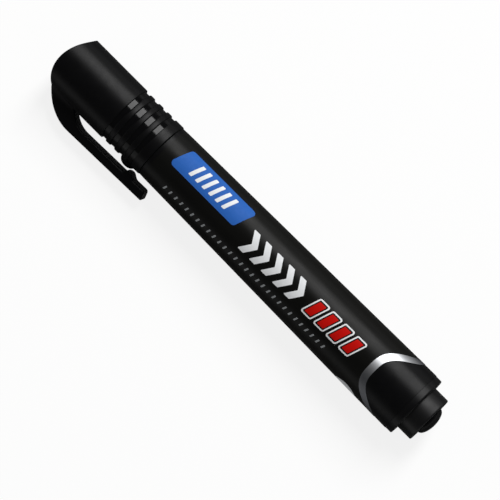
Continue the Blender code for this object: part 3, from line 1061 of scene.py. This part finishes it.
@dataclass
class CapAssembly:
    """Moulded cap with its grip ribs and its nub, and the sealing cup inside it."""

    pen: Pen
    radius: float = 0.0085
    bore: float = 0.00705
    apex: float = -0.03515
    crown_radius: float = 0.0121
    crown_offset: float = 0.00055
    crown_wall: float = 0.0015
    crown_rounding: float = 0.00016
    crown_rings: int = 8
    lip: float = -0.0001
    lip_length: float = 0.0029
    edge_rounding: float = 0.00016
    grip_radius: float = 0.00837
    groove_floor: float = 0.00797
    groove_width: float = 0.00145
    groove_pitch: float = 0.00312
    groove_count: int = 4
    rib_rounding: float = 0.00032
    rib_sink: float = 0.00035
    nub_along: float = -0.0044
    nub_half_length: float = 0.0025
    nub_half_width: float = 0.0020
    nub_height: float = 0.00125
    nub_sink: float = 0.00055
    nub_bulge: float = 0.9
    nub_rings: int = 12
    nub_sides: int = 36
    liner_bore: float = 0.0062
    liner_mouth: float = -0.0166
    liner_floor: float = -0.0280
    liner_wall: float = 0.0008
    liner_seal: float = 0.003808
    liner_flange: float = 0.0061
    liner_flange_length: float = 0.0012
    ledge: float = -0.0158

    @property
    def grip_start(self) -> float:
        """Where the first groove starts along the axis."""
        return -self.lip_length - self.groove_width - (self.groove_count - 1) * self.groove_pitch

    def shell(self) -> bpy.types.Mesh:
        """Cap from its crown to its lip, hollow, with polished floors between the grip ribs.

        Returns:
            The mesh, with material 0 satin and material 1 polished.
        """
        rings = self.crown_rings
        corners = [Corner(self.apex, self.radius * ring / rings) for ring in range(rings)]
        edge = self.edge_rounding
        grip_end = -self.lip_length
        corners += [
            Corner(self.apex, self.radius, self.crown_rounding),
            Corner(self.grip_start, self.radius, edge),
            Corner(self.grip_start, self.groove_floor, edge / 2),
            Corner(grip_end, self.groove_floor, edge / 2),
            Corner(grip_end, self.grip_radius, self.rib_rounding),
            Corner(self.lip, self.grip_radius, edge),
            Corner(self.lip, self.bore, edge),
            Corner(self.ledge, self.bore, edge),
            Corner(self.liner_mouth, self.liner_bore, edge),
        ]
        inner = self.crown_radius - self.crown_wall
        rise = inner - math.sqrt(inner ** 2 - self.liner_bore ** 2)
        ceiling = dome(self.apex + self.crown_wall + rise, self.liner_bore, -rise)
        corners += [Corner(along, out) for along, out in ceiling]
        mesh = turned("cap_shell", corners, closed=False, finish=SATIN_POLYPROPYLENE)
        self.arch_crown(mesh)
        for face in mesh.polygons:
            along, across, to_clip = face.center
            on_floor = self.bore + edge < math.hypot(across, to_clip) < self.groove_floor + edge / 2
            if on_floor and self.grip_start < along < grip_end:
                face.material_index = 1
        return mesh

    def arch_crown(self, mesh: bpy.types.Mesh) -> None:
        """Draw the cap's flat end back to an arch across the clip's plane, and its side with it.

        Args:
            mesh: The cap with a flat end, changed in place.
        """
        end = self.apex + self.crown_rounding
        mid_wall = (self.radius + self.bore) / 2
        for vertex in mesh.vertices:
            along, across, to_clip = vertex.co
            if along > end and (along > self.grip_start or math.hypot(across, to_clip) < mid_wall):
                continue
            drop = self.crown_radius - math.sqrt(self.crown_radius ** 2 - (to_clip + self.crown_offset) ** 2)
            share = min(1.0, (self.grip_start - along) / (self.grip_start - end))
            vertex.co.x += drop * share

    def ribs(self) -> bpy.types.Mesh:
        """Grip ribs between the grooves.

        Returns:
            The mesh.
        """
        width = self.groove_pitch - self.groove_width
        values = {
            "Count": self.groove_count - 1,
            "Start": self.grip_start + self.groove_width + width / 2,
            "Pitch": self.groove_pitch,
            "Crest Radius": self.grip_radius,
            "Width": width,
            "Depth": self.grip_radius - self.groove_floor + self.rib_sink,
            "Rounding": self.rib_rounding,
            "Material": SATIN_POLYPROPYLENE.material(),
        }
        return grip_rib_recipe().run(bpy.data.meshes.new("cap_grip_ribs"), values)

    def nub(self) -> bpy.types.Mesh:
        """Low oval nub under the clip, which grips cloth against the clip's ridge.

        Returns:
            The mesh.
        """
        foot = self.grip_radius - self.nub_sink
        tall = self.nub_height + self.nub_sink
        sections = [[(self.nub_along, 0.0, foot)]]
        for step in range(self.nub_rings):
            angle = math.pi / 2 * step / self.nub_rings
            spread = math.cos(angle) ** self.nub_bulge
            out = foot + tall * math.sin(angle)
            section = []
            for index in range(self.nub_sides):
                turn = math.tau * index / self.nub_sides
                along = self.nub_along + self.nub_half_length * spread * math.cos(turn)
                swing = self.nub_half_width * spread * math.sin(turn) / self.grip_radius
                section.append((along, out * math.sin(swing), out * math.cos(swing)))
            sections.append(section)
        sections.append([(self.nub_along, 0.0, foot + tall)])
        return lofted("cap_nub", sections, looped=False)

    def liner(self) -> bpy.types.Mesh:
        """Sealing cup, closed round the tip, with a flange at its mouth.

        Returns:
            The mesh.
        """
        body = self.liner_seal + self.liner_wall
        back = self.liner_floor - self.liner_wall
        shoulder = self.liner_mouth - self.liner_flange_length
        edge = self.edge_rounding
        corners = [
            Corner(back, 0.0),
            Corner(back, body, 2 * edge),
            Corner(shoulder, body, edge),
            Corner(shoulder, self.liner_flange, edge),
            Corner(self.liner_mouth, self.liner_flange, edge),
            Corner(self.liner_mouth, self.liner_seal, 2 * edge),
            Corner(self.liner_floor, self.liner_seal, 2 * edge),
            Corner(self.liner_floor, 0.0),
        ]
        return turned("inner_cap_cup", corners, closed=False, finish=NATURAL_POLYETHYLENE)

    def build(self) -> list[bpy.types.Object]:
        """Make the cap's pieces and set them on its body.

        Returns:
            The pieces.
        """
        shell = self.pen.piece(self.shell(), Slot.CAP, (POLISHED_POLYPROPYLENE,))
        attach(shell, Body.CAP.value)
        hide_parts("cap")
        ribs = self.pen.piece(self.ribs(), Slot.CAP)
        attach(ribs, Body.CAP.value)
        nub = self.pen.piece(self.nub(), Slot.CAP, (SATIN_POLYPROPYLENE,))
        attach(nub, Body.CAP.value)
        liner = self.pen.piece(self.liner(), Slot.SEAL)
        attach(liner, Body.CAP.value)
        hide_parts("inner_cap")
        return [shell, ribs, nub, liner]


@dataclass
class PocketClip:
    """Clip that sweeps up from the cap's corner and runs back over the barrel."""

    pen: Pen
    width: float = 0.0050
    thickness: float = 0.0025
    edge_rounding: float = 0.00045
    foot_out: float = 0.0065
    swell: float = 0.00034
    swell_top: float = 0.0074
    swell_end: float = 0.0125
    crest_along: float = -0.0215
    crest_out: float = 0.01355
    sweep_radius: float = 0.0124
    throat_along: float = -0.01745
    throat_radius: float = 0.0080
    end_along: float = 0.0052
    fall: float = 0.00071
    end_rounding: float = 0.0003
    end_slant: float = 0.0005
    end_inner_rounding: float = 0.0009
    foot_flare: float = 0.0014
    foot_flare_share: float = 0.4
    ridge_along: float = -0.0017
    ridge_steep_run: float = 0.00145
    ridge_ramp_run: float = 0.0024
    ridge_height: float = 0.00107
    flex_start: float = -0.0210
    flex_end: float = -0.0080
    root_steps: int = 36
    arm_steps: int = 110

    def outer(self, along: float) -> float:
        """Distance of the arm's outer face from the axis."""
        return self.crest_out - self.fall * (along - self.crest_along) / (self.end_along - self.crest_along)

    def inner(self, along: float) -> float:
        """Distance of the arm's inner face from the axis, with the retaining ridge.

        Args:
            along: A place along the axis.

        Returns:
            The distance there.
        """
        plain = self.outer(along) - self.thickness
        offset = along - self.ridge_along
        if 0 <= offset < self.ridge_ramp_run:
            return plain - self.ridge_height * math.cos(math.pi / 2 * offset / self.ridge_ramp_run) ** 2
        if -self.ridge_steep_run < offset < 0:
            return plain - self.ridge_height * math.sqrt(1 - (offset / self.ridge_steep_run) ** 2)
        return plain

    def root_swell(self, out: float) -> float:
        """How far the root's outer face stands proud of its sweep, where it blends into the crown.

        Args:
            out: Distance of a point of the sweep from the axis.

        Returns:
            The swell there, which rises softly from the foot and then falls evenly.
        """
        rise = min(max((out - self.foot_out) / (self.swell_top - self.foot_out), 0.0), 1.0)
        fall = min(max((self.swell_end - out) / (self.swell_end - self.swell_top), 0.0), 1.0)
        return self.swell * fall * rise ** 2 * (3 - 2 * rise)

    def root_pairs(self) -> list[tuple[Vector, Vector]]:
        """Outer and inner points of the root, from its foot in the cap to the crest.

        Returns:
            The pairs, each point as (along, out).
        """
        sweep_centre = Vector((self.crest_along, self.crest_out - self.sweep_radius))
        throat_top = self.outer(self.throat_along) - self.thickness
        throat_centre = Vector((self.throat_along, throat_top - self.throat_radius))
        sweep_foot = math.acos((self.foot_out - sweep_centre.y) / self.sweep_radius)
        throat_foot = math.acos((self.foot_out - throat_centre.y) / self.throat_radius)
        pairs = []
        for step in range(self.root_steps):
            share = 1 - step / self.root_steps
            up_sweep = Vector((-math.sin(sweep_foot * share), math.cos(sweep_foot * share)))
            up_throat = Vector((-math.sin(throat_foot * share), math.cos(throat_foot * share)))
            outer = sweep_centre + up_sweep * self.sweep_radius
            outer += up_sweep * self.root_swell(outer.y)
            pairs.append((outer, throat_centre + up_throat * self.throat_radius))
        return pairs

    def arm_pairs(self) -> list[tuple[Vector, Vector]]:
        """Outer and inner points of the arm, from the crest to the start of its rounded end.

        Returns:
            The pairs, each point as (along, out).
        """
        outer_stop = self.end_along - self.end_rounding
        inner_stop = self.end_along - self.end_slant - self.end_inner_rounding
        pairs = []
        for step in range(self.arm_steps + 1):
            share = step / self.arm_steps
            high = self.crest_along + (outer_stop - self.crest_along) * share
            low = self.throat_along + (inner_stop - self.throat_along) * share
            pairs.append((Vector((high, self.outer(high))), Vector((low, self.inner(low)))))
        return pairs

    def section(self, outer: Vector, inner: Vector, half_width: float) -> list[Place]:
        """Rounded section of the clip.

        Args:
            outer: Its outer point, as (along, out).
            inner: Its inner point.
            half_width: Half its width across the pen.

        Returns:
            Points round the section, in the pen's frame.
        """
        depth = (outer - inner).length
        way = (outer - inner) / depth
        edge = min(self.edge_rounding, SIDE_SHARE * depth, SIDE_SHARE * half_width)
        corners = [
            Corner(-half_width, 0.0, edge),
            Corner(half_width, 0.0, edge),
            Corner(half_width, depth, edge),
            Corner(-half_width, depth, edge),
        ]
        points = []
        for across, rise in rounded(corners, closed=True):
            place = inner + way * rise
            points.append((place.x, across, place.y))
        return points

    def mesh(self) -> bpy.types.Mesh:
        """Loft the clip through its sections.

        Returns:
            The mesh, in the pen's frame.
        """
        sections = []
        for step, (outer, inner) in enumerate(self.root_pairs()):
            near_foot = max(0.0, 1 - step / self.root_steps / self.foot_flare_share)
            half_width = self.width / 2 + self.foot_flare * near_foot ** 2
            sections.append(self.section(outer, inner, half_width))
        arm = self.arm_pairs()
        for outer, inner in arm:
            sections.append(self.section(outer, inner, self.width / 2))
        outer, inner = arm[-1]
        for step in range(1, ARC_STEPS + 1):
            angle = math.pi / 2 * step / (ARC_STEPS + 1)
            ahead = math.sin(angle)
            draw_in = 1 - math.cos(angle)
            top = outer + Vector((ahead, -draw_in)) * self.end_rounding
            bottom = inner + Vector((ahead, draw_in)) * self.end_inner_rounding
            sections.append(self.section(top, bottom, self.width / 2 - draw_in * self.end_rounding))
        return lofted("clip_spring", sections, looped=False)

    def build(self) -> list[bpy.types.Object]:
        """Make the clip and lay it in place.

        Returns:
            The clip, as the only piece.
        """
        clip = self.pen.piece(self.mesh(), Slot.CAP, (SATIN_POLYPROPYLENE,))
        level = self.outer(self.flex_start)
        start = self.pen.point(self.flex_start, 0.0, level)
        end = self.pen.point(self.flex_end, 0.0, level)
        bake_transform(clip)
        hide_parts("pocket_clip")
        return [clip]


@dataclass
class BarrelAssembly:
    """Tapered barrel with its printed film, and the plug that closes its tail."""

    pen: Pen
    length: float = 0.0918
    seam_radius: float = 0.00814
    tail_radius: float = 0.00940
    wall: float = 0.0015
    mouth_bore: float = 0.00705
    mouth_depth: float = 0.0071
    tail_wall: float = 0.00135
    tail_depth: float = 0.0081
    edge_rounding: float = 0.00015
    film_start: float = 0.0012
    film_lift: float = 0.00004
    wave_crest: float = 0.0779
    wave_depth: float = 0.0077
    wave_power: float = 3.2
    wave_angle: float = math.radians(-6.0)
    slope_angle: float = 0.01
    band_width: float = 0.0021
    band_lift: float = 0.00007
    # The silver stripe's painted highlight: the angle it is centred on, how far from there it stays full, and
    # where it has faded to painted shade.
    highlight_angle: float = math.radians(24.0)
    highlight_full_reach: float = math.radians(16.0)
    highlight_zero_reach: float = math.radians(56.0)
    fit: float = 0.0001
    flange_step: float = 0.00012
    flange_length: float = 0.00195
    flange_seam: float = 0.00002
    seam_rounding: float = 0.00004
    flange_rounding: float = 0.00035
    spigot_radius: float = 0.00695
    spigot_length: float = 0.0047
    spigot_rounding: float = 0.0004
    spigot_wall: float = 0.00145
    plug_end_wall: float = 0.0015
    tip_radius: float = 0.00418
    tip_height: float = 0.0019
    tip_fillet: float = 0.0004
    tip_steps: int = 28

    @property
    def taper(self) -> float:
        """How much the barrel's radius grows for each unit of length."""
        return (self.tail_radius - self.seam_radius) / self.length

    def surface(self, along: float) -> float:
        """Radius of the barrel's outside."""
        return self.seam_radius + self.taper * along

    def wave(self, angle: float) -> float:
        """Edge of the film on the tail side: two scallops round the barrel, with rounded points between them.

        Args:
            angle: Angle from the line that faces the viewer.

        Returns:
            Where the cap side of the silver stripe lies along the axis.
        """
        return self.wave_crest + self.wave_depth * abs(math.sin(angle - self.wave_angle)) ** self.wave_power

    def stripe_reach(self, angle: float) -> float:
        """Length of the silver stripe along the axis, for an even width square to its edge.

        Args:
            angle: Angle from the line that faces the viewer.

        Returns:
            The length there.
        """
        step = self.slope_angle
        run = 2 * step * self.surface(self.wave_crest)
        slope = (self.wave(angle + step) - self.wave(angle - step)) / run
        return self.band_width * math.hypot(1.0, slope)

    def film_front(self, angle: float) -> float:
        """Where the film starts along the axis, which is the same at every angle."""
        return self.film_start

    def film_back(self, angle: float) -> float:
        """Where the film ends along the axis, under the middle of the silver stripe."""
        return self.wave(angle) + self.stripe_reach(angle) / 2

    def stripe_back(self, angle: float) -> float:
        """Where the silver stripe ends along the axis."""
        return self.wave(angle) + self.stripe_reach(angle)

    def film_surface(self, along: float) -> float:
        """Radius of the film's outside."""
        return self.surface(along) + self.film_lift

    def stripe_surface(self, along: float) -> float:
        """Radius of the silver stripe's outside."""
        return self.surface(along) + self.band_lift

    def tube(self) -> bpy.types.Mesh:
        """Barrel tube with its seats for the tip holder and the tail plug.

        Returns:
            The mesh.
        """
        edge = self.edge_rounding
        tail_bore = self.tail_radius - self.tail_wall
        tail_seat = self.length - self.tail_depth
        corners = [
            Corner(0.0, self.seam_radius, edge),
            Corner(self.length, self.tail_radius, self.seam_rounding),
            Corner(self.length, tail_bore, edge),
            Corner(tail_seat, tail_bore, edge),
            Corner(tail_seat, self.surface(tail_seat) - self.wall, edge),
            Corner(self.mouth_depth, self.surface(self.mouth_depth) - self.wall),
            Corner(self.mouth_depth, self.mouth_bore),
            Corner(0.0, self.mouth_bore, edge),
        ]
        return turned("barrel_tube", corners, closed=True, finish=SATIN_POLYPROPYLENE)

    def film(self) -> bpy.types.Mesh:
        """Printed film from near the seam to the middle of the silver stripe."""
        return wrapped_band("label_wrap", self.film_front, self.film_back, self.surface, self.film_surface)

    def stripe(self) -> bpy.types.Mesh:
        """Silver stripe over the film's tail edge, with a painted highlight on top and painted shade down
        both sides.

        Returns:
            The mesh, which carries the share of painted highlight at each point.
        """
        mesh = wrapped_band("silver_stripe", self.wave, self.stripe_back, self.surface, self.stripe_surface)
        strength = mesh.attributes.new(HIGHLIGHT_PAINTED_SILVER_INK.strength, "FLOAT", "POINT")
        for vertex in mesh.vertices:
            turn = math.atan2(-vertex.co.z, vertex.co.y) - PRINT_FACE_ANGLE
            away = abs(math.remainder(turn - self.highlight_angle, math.tau))
            share = min(max((self.highlight_zero_reach - away) / (self.highlight_zero_reach - self.highlight_full_reach), 0.0), 1.0)
            strength.data[vertex.index].value = share ** 2
        return mesh

    def plug(self) -> bpy.types.Mesh:
        """Tail plug: skirt in the barrel, flange flush with it, spigot and low domed tip.

        Returns:
            The mesh, with material 0 satin, material 1 stoned and material 2 as turned.
        """
        skirt = self.tail_radius - self.tail_wall - self.fit
        flange = self.tail_radius - self.flange_step
        seat = self.length + self.flange_seam
        skirt_front = self.length - self.tail_depth + self.fit
        shoulder = self.length + self.fit + self.flange_length
        spigot_end = shoulder + self.spigot_length
        hollow = self.spigot_radius - self.spigot_wall
        hollow_end = spigot_end - self.plug_end_wall
        edge = self.edge_rounding
        corners = [
            Corner(hollow_end, 0.0),
            Corner(hollow_end, hollow, edge),
            Corner(skirt_front, hollow, edge),
            Corner(skirt_front, skirt, edge),
            Corner(seat, skirt),
            Corner(seat, flange, self.seam_rounding),
            Corner(shoulder, flange, self.flange_rounding),
            Corner(shoulder, self.spigot_radius, edge),
            Corner(spigot_end, self.spigot_radius, self.spigot_rounding),
        ]
        for step in range(self.tip_steps + 1):
            angle = math.pi / 2 * step / self.tip_steps
            along = spigot_end + self.tip_height * math.sin(angle)
            fillet = self.tip_fillet if step == 0 else 0.0
            corners.append(Corner(along, self.tip_radius * math.cos(angle), fillet))
        mesh = turned("tail_plug_body", corners, closed=False, finish=SATIN_POLYPROPYLENE)
        for face in mesh.polygons:
            along, across, to_clip = face.center
            if along > seat and math.hypot(across, to_clip) > hollow:
                face.material_index = 2 if along > shoulder else 1
        return mesh

    def build(self) -> list[bpy.types.Object]:
        """Make the barrel's pieces and set them on its body.

        Returns:
            The pieces.
        """
        tube = self.pen.piece(self.tube(), Slot.BARREL)
        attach(tube, Body.BARREL.value)
        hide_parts("barrel")
        film = self.pen.piece(self.film(), Slot.PRINT, (GRAVURE_FILM,))
        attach(film, Body.BARREL.value)
        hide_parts("label_film")
        stripe = self.pen.piece(self.stripe(), Slot.PRINT, (HIGHLIGHT_PAINTED_SILVER_INK,))
        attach(stripe, Body.BARREL.value)
        outer_finishes = (STONED_POLYPROPYLENE, AS_TURNED_POLYPROPYLENE)
        plug = self.pen.piece(self.plug(), Slot.BARREL, outer_finishes)
        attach(plug, Body.BARREL.value)
        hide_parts("tail_plug")
        return [tube, film, stripe, plug]


@dataclass
class TipAssembly:
    """Tip holder and fibre tip under the cap, and the finish of the ink reservoir behind them."""

    pen: Pen
    neck_radius: float = 0.00695
    neck_length: float = 0.0125
    shoulder: float = 0.0004
    insert_length: float = 0.0070
    nose_length: float = 0.0049
    nose_tip_radius: float = 0.0033
    nose_flare: float = 0.0010
    nib_bore: float = 0.0024
    hollow: float = 0.0054
    hollow_end: float = -0.0091
    edge_rounding: float = 0.0002
    nib_radius: float = 0.0023
    nib_point: float = -0.0226
    nib_round_length: float = 0.0024
    nib_point_radius: float = 0.0007
    nib_rear: float = 0.0149
    nib_steps: int = 24

    def holder(self) -> bpy.types.Mesh:
        """Tip holder: tapered nose, neck that the cap grips, and insert.

        Returns:
            The mesh.
        """
        nose_base = -self.neck_length - self.shoulder
        nose_tip = nose_base - self.nose_length
        edge = self.edge_rounding
        corners = [
            Corner(nose_tip, self.nose_tip_radius, edge),
            Corner(nose_base, self.nose_tip_radius + self.nose_flare, edge),
            Corner(nose_base, self.neck_radius - self.shoulder, edge),
            Corner(-self.neck_length, self.neck_radius, edge),
            Corner(self.insert_length, self.neck_radius, edge),
            Corner(self.insert_length, self.hollow, edge),
            Corner(self.hollow_end, self.hollow, edge),
            Corner(self.hollow_end, self.nib_bore),
            Corner(nose_tip, self.nib_bore, edge / 2),
        ]
        return turned("tip_holder", corners, closed=True, finish=SATIN_POLYPROPYLENE)

    def nib(self) -> bpy.types.Mesh:
        """Bullet tip of bonded fibre.

        Returns:
            The mesh.
        """
        corners = [Corner(self.nib_point, 0.0)]
        for step in range(self.nib_steps + 1):
            angle = math.pi / 2 * step / self.nib_steps
            along = self.nib_point + self.nib_round_length * (1 - math.cos(angle))
            out = self.nib_point_radius + (self.nib_radius - self.nib_point_radius) * math.sin(angle)
            rounding = self.edge_rounding if step == 0 else 0.0
            corners.append(Corner(along, out, rounding))
        corners += [Corner(self.nib_rear, self.nib_radius), Corner(self.nib_rear, 0.0)]
        return turned("bullet_nib", corners, closed=False, finish=INKED_FIBRE)

    def build(self) -> list[bpy.types.Object]:
        """Make the tip's pieces, set them on the barrel's body and dress the reservoir.

        Returns:
            The pieces, with the reservoir's two nodes.
        """
        holder = self.pen.piece(self.holder(), Slot.HOLDER)
        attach(holder, Body.BARREL.value)
        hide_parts("front_section")
        nib = self.pen.piece(self.nib(), Slot.NIB)
        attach(nib, Body.BARREL.value)
        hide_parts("nib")
        pieces = [holder, nib]
        for name, finish in (("ink_reservoir", INKED_FIBRE), ("reservoir_wrap", CLEAR_FILM)):
            node = frame["nodes"][name]
            node.data.materials.clear()
            node.data.materials.append(finish.material())
            pieces.append(node)
        return pieces


@dataclass(frozen=True)
class Mark:
    """A printed mark, repeated along the pen.

    The first one's place is along the axis, and round the barrel from the line that faces the viewer.
    """

    name: str
    ink: Finish
    along: float
    around: float
    outline: Sequence[Corner]
    hole: Sequence[Corner] = ()
    count: int = 1
    pitch: float = 0.0
    lift: float = 0.00006


def slanted_box(length: float, height: float, rounding: float, slant: float = PRINT_SLANT) -> list[Corner]:
    """Outline of a box that leans to the tail.

    Args:
        length: Its length along the pen.
        height: Its height round the pen.
        rounding: Radius of its corners.
        slant: Its lean.

    Returns:
        Its corners, centred.
    """
    lean = height / 2 * math.tan(slant)
    corners = []
    for side, level in ((-1, -1), (1, -1), (1, 1), (-1, 1)):
        corners.append(Corner(side * length / 2 + level * lean, level * height / 2, rounding))
    return corners


def chevron(stroke: float, height: float, lead: float, rounding: float, point: float) -> list[Corner]:
    """Outline of a chevron that points to the tail.

    Args:
        stroke: Its thickness along the pen.
        height: Its height round the pen.
        lead: How far its point leads its arms.
        rounding: Radius of its other corners.
        point: Radius of its point.

    Returns:
        Its corners, centred.
    """
    half = height / 2
    start = -(stroke + lead) / 2
    return [
        Corner(start, -half, rounding),
        Corner(start + stroke, -half, rounding),
        Corner(start + stroke + lead, 0.0, point),
        Corner(start + stroke, half, rounding),
        Corner(start, half, rounding),
        Corner(start + lead, 0.0, rounding),
    ]


def disc(radius: float, steps: int = 48) -> list[Corner]:
    """Outline of a round dot.

    Args:
        radius: Its radius.
        steps: How many sides it is drawn with.

    Returns:
        Its corners, centred.
    """
    turns = [math.tau * step / steps for step in range(steps)]
    return [Corner(radius * math.cos(turn), radius * math.sin(turn)) for turn in turns]


# The marks of the print, in order. The red blocks stand in the frames.
PRINT_MARKS = (
    Mark(
        "blue_panel",
        BLUE_INK,
        along=0.0172,
        around=0.0030,
        outline=slanted_box(length=0.0235, height=0.0072, rounding=0.0011),
    ),
    Mark(
        "panel_bars",
        WHITE_INK,
        along=0.0112,
        around=0.0030,
        outline=slanted_box(length=0.0011, height=0.0044, rounding=0.0002),
        count=6,
        pitch=0.0024,
        lift=0.00008,
    ),
    Mark(
        "white_chevrons",
        WHITE_INK,
        along=0.0345,
        around=-0.0004,
        outline=chevron(stroke=0.0021, height=0.0066, lead=0.0022, rounding=0.0002, point=0.0003),
        count=5,
        pitch=0.0042,
    ),
    Mark(
        "block_frames",
        WHITE_INK,
        along=0.0580,
        around=-0.0006,
        outline=slanted_box(length=0.0037, height=0.0061, rounding=0.0006),
        hole=slanted_box(length=0.0029, height=0.0053, rounding=0.0003),
        count=4,
        pitch=0.0045,
    ),
    Mark(
        "red_blocks",
        RED_INK,
        along=0.0580,
        around=-0.0006,
        outline=slanted_box(length=0.0022, height=0.0045, rounding=0.0002),
        count=4,
        pitch=0.0045,
    ),
    Mark(
        "grey_ticks",
        GREY_INK,
        along=0.0080,
        around=-0.0066,
        outline=slanted_box(length=0.0005, height=0.0014, rounding=0.0001),
        count=30,
        pitch=0.0020,
    ),
    Mark("silver_dot", PEWTER_INK, along=0.0769, around=-0.0145, outline=disc(radius=0.00375)),
)


@dataclass
class PrintedMarks:
    """Plain geometric print on the film, in blue, white, red, grey and silver."""

    pen: Pen
    barrel: BarrelAssembly
    marks: Sequence[Mark] = PRINT_MARKS
    sink: float = 0.00001
    slice_width: float = 0.0003

    def plate(self, mark: Mark) -> bpy.types.Mesh:
        """Cut one flat mark out of a sheet of ink.

        Args:
            mark: The mark.

        Returns:
            A closed flat plate, sliced along the pen so that it can bend round it.
        """
        shape = bmesh.new()
        rings = []
        for outline in (mark.outline, mark.hole):
            points = rounded(outline, closed=True, hold=0.0)
            rings.append([shape.verts.new((mark.along + x, mark.around + y, 0.0)) for x, y in points])
        outer, inner = rings
        if inner:
            join_rings(shape, outer, inner)
        else:
            shape.faces.new(outer)
        shape.normal_update()
        bmesh.ops.triangulate(shape, faces=shape.faces)
        levels = [vertex.co.y for vertex in shape.verts]
        low = min(levels)
        height = max(levels) - low
        slices = math.ceil(height / self.slice_width)
        for index in range(1, slices):
            bmesh.ops.bisect_plane(
                shape,
                geom=shape.verts[:] + shape.edges[:] + shape.faces[:],
                dist=MERGE_DISTANCE,
                plane_co=(0.0, low + height * index / slices, 0.0),
                plane_no=(0.0, 1.0, 0.0),
            )
        top = bmesh.ops.extrude_face_region(shape, geom=shape.faces[:])
        raised = [item for item in top["geom"] if isinstance(item, bmesh.types.BMVert)]
        for vertex in shape.verts:
            vertex.co.z = -self.sink
        for vertex in raised:
            vertex.co.z = mark.lift
        return finished_mesh(mark.name, shape)

    def build(self) -> list[bpy.types.Object]:
        """Print the marks and set them on the barrel's body.

        Returns:
            The pieces.
        """
        recipe = print_row_recipe()
        pieces = []
        for mark in self.marks:
            values = {
                "Count": mark.count,
                "Pitch": mark.pitch,
                "Seam Radius": self.barrel.seam_radius,
                "Taper": self.barrel.taper,
                "Face Angle": -PRINT_FACE_ANGLE,
                "Material": mark.ink.material(),
            }
            piece = self.pen.piece(recipe.run(self.plate(mark), values), Slot.PRINT)
            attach(piece, Body.BARREL.value)
            pieces.append(piece)
        return pieces


@dataclass
class Studio:
    """Pale floor, one long soft lamp, a dim room, and the camera."""

    pen: Pen
    lens_mm: float = 300.0
    sensor_mm: float = 36.0
    field: float = 0.12955
    tail_tilt: float = math.radians(4.8)
    heading: float = math.radians(45.14)
    target_along: float = 0.03458
    target_side: float = -0.0018
    floor_size: float = 30.0
    lamp_angle: float = math.radians(50.0)
    lamp_distance: float = 1.5
    lamp_width: float = 1.05
    lamp_length: float = 0.42
    lamp_power: float = 24.0
    room_light: float = 0.18

    def facing(self) -> Vector:
        """Direction square to the pen's axis that leans to the camera."""
        return self.pen.axis(1) * math.cos(PRINT_FACE_ANGLE) - self.pen.axis(2) * math.sin(PRINT_FACE_ANGLE)

    def view_axes(self) -> tuple[Vector, Vector, Vector]:
        """Axes of the view, square to each other.

        Returns:
            Directions to the camera, along the pen in the picture, and to the picture's upper right.
        """
        tail = self.pen.axis(0)
        to_camera = self.facing() * math.cos(self.tail_tilt) + tail * math.sin(self.tail_tilt)
        along = (tail - to_camera * tail.dot(to_camera)).normalized()
        return to_camera, along, to_camera.cross(along)

    def camera(self) -> None:
        """Set the camera at the photograph's viewing angle."""
        to_camera, along, upper = self.view_axes()
        right = along * math.cos(self.heading) + upper * math.sin(self.heading)
        up = upper * math.cos(self.heading) - along * math.sin(self.heading)
        distance = self.field * self.lens_mm / self.sensor_mm
        target = self.pen.point(self.target_along) + upper * self.target_side
        data = bpy.data.cameras.new("camera")
        data.lens = self.lens_mm
        data.sensor_width = self.sensor_mm
        camera = linked("camera", data)
        camera.matrix_world = pose((right, up, to_camera), target + to_camera * distance)
        bpy.context.scene.camera = camera

    def lamp(self) -> None:
        """Hang the long soft lamp at the picture's upper right, where the pen's side mirrors it."""
        tail = self.pen.axis(0)
        upper = self.view_axes()[2]
        square = self.facing() * math.cos(self.lamp_angle) + upper * math.sin(self.lamp_angle)
        toward = square * math.cos(self.tail_tilt) - tail * math.sin(self.tail_tilt)
        along = (tail - toward * tail.dot(toward)).normalized()
        data = bpy.data.lights.new("key_lamp", "AREA")
        data.shape = "RECTANGLE"
        data.size = self.lamp_length
        data.size_y = self.lamp_width
        data.energy = self.lamp_power
        place = self.pen.point(self.target_along) + toward * self.lamp_distance
        linked("key_lamp", data).matrix_world = pose((along, toward.cross(along), toward), place)

    def room(self) -> None:
        """Light the room dimly and evenly."""
        world = bpy.data.worlds.new("dim_room")
        world.use_nodes = True
        background = world.node_tree.nodes["Background"]
        background.inputs["Color"].default_value = linear("#ffffff")
        background.inputs["Strength"].default_value = self.room_light
        bpy.context.scene.world = world

    def floor(self) -> None:
        """Lay the pale floor that the pen rests on."""
        shape = bmesh.new()
        bmesh.ops.create_grid(shape, x_segments=1, y_segments=1, size=self.floor_size / 2)
        mesh = bpy.data.meshes.new("studio_floor")
        shape.to_mesh(mesh)
        shape.free()
        mesh.materials.append(PAINTED_BOARD.material())
        floor = linked("studio_floor", mesh)

    def build(self) -> None:
        """Set up the studio, with colours shown as they are."""
        bpy.context.scene.view_settings.view_transform = "Standard"
        self.camera()
        self.lamp()
        self.room()
        self.floor()


def main() -> None:
    """Build the studio and then the marker, and report each piece."""
    logging.basicConfig(level=logging.INFO, format="%(name)s %(message)s")
    pen = Pen.lying_in_frame()
    studio = Studio(pen)
    studio.build()
    LOG.info("studio: lamp %.0f W, room %.2f", studio.lamp_power, studio.room_light)
    barrel = BarrelAssembly(pen)
    for assembly in (CapAssembly(pen), PocketClip(pen), barrel, TipAssembly(pen), PrintedMarks(pen, barrel)):
        for piece in assembly.build():
            finishes = ", ".join(material.name for material in piece.data.materials)
            LOG.info("%s: %d faces of %s", piece.name, len(piece.data.polygons), finishes)


if __name__ == "__main__":
    main()
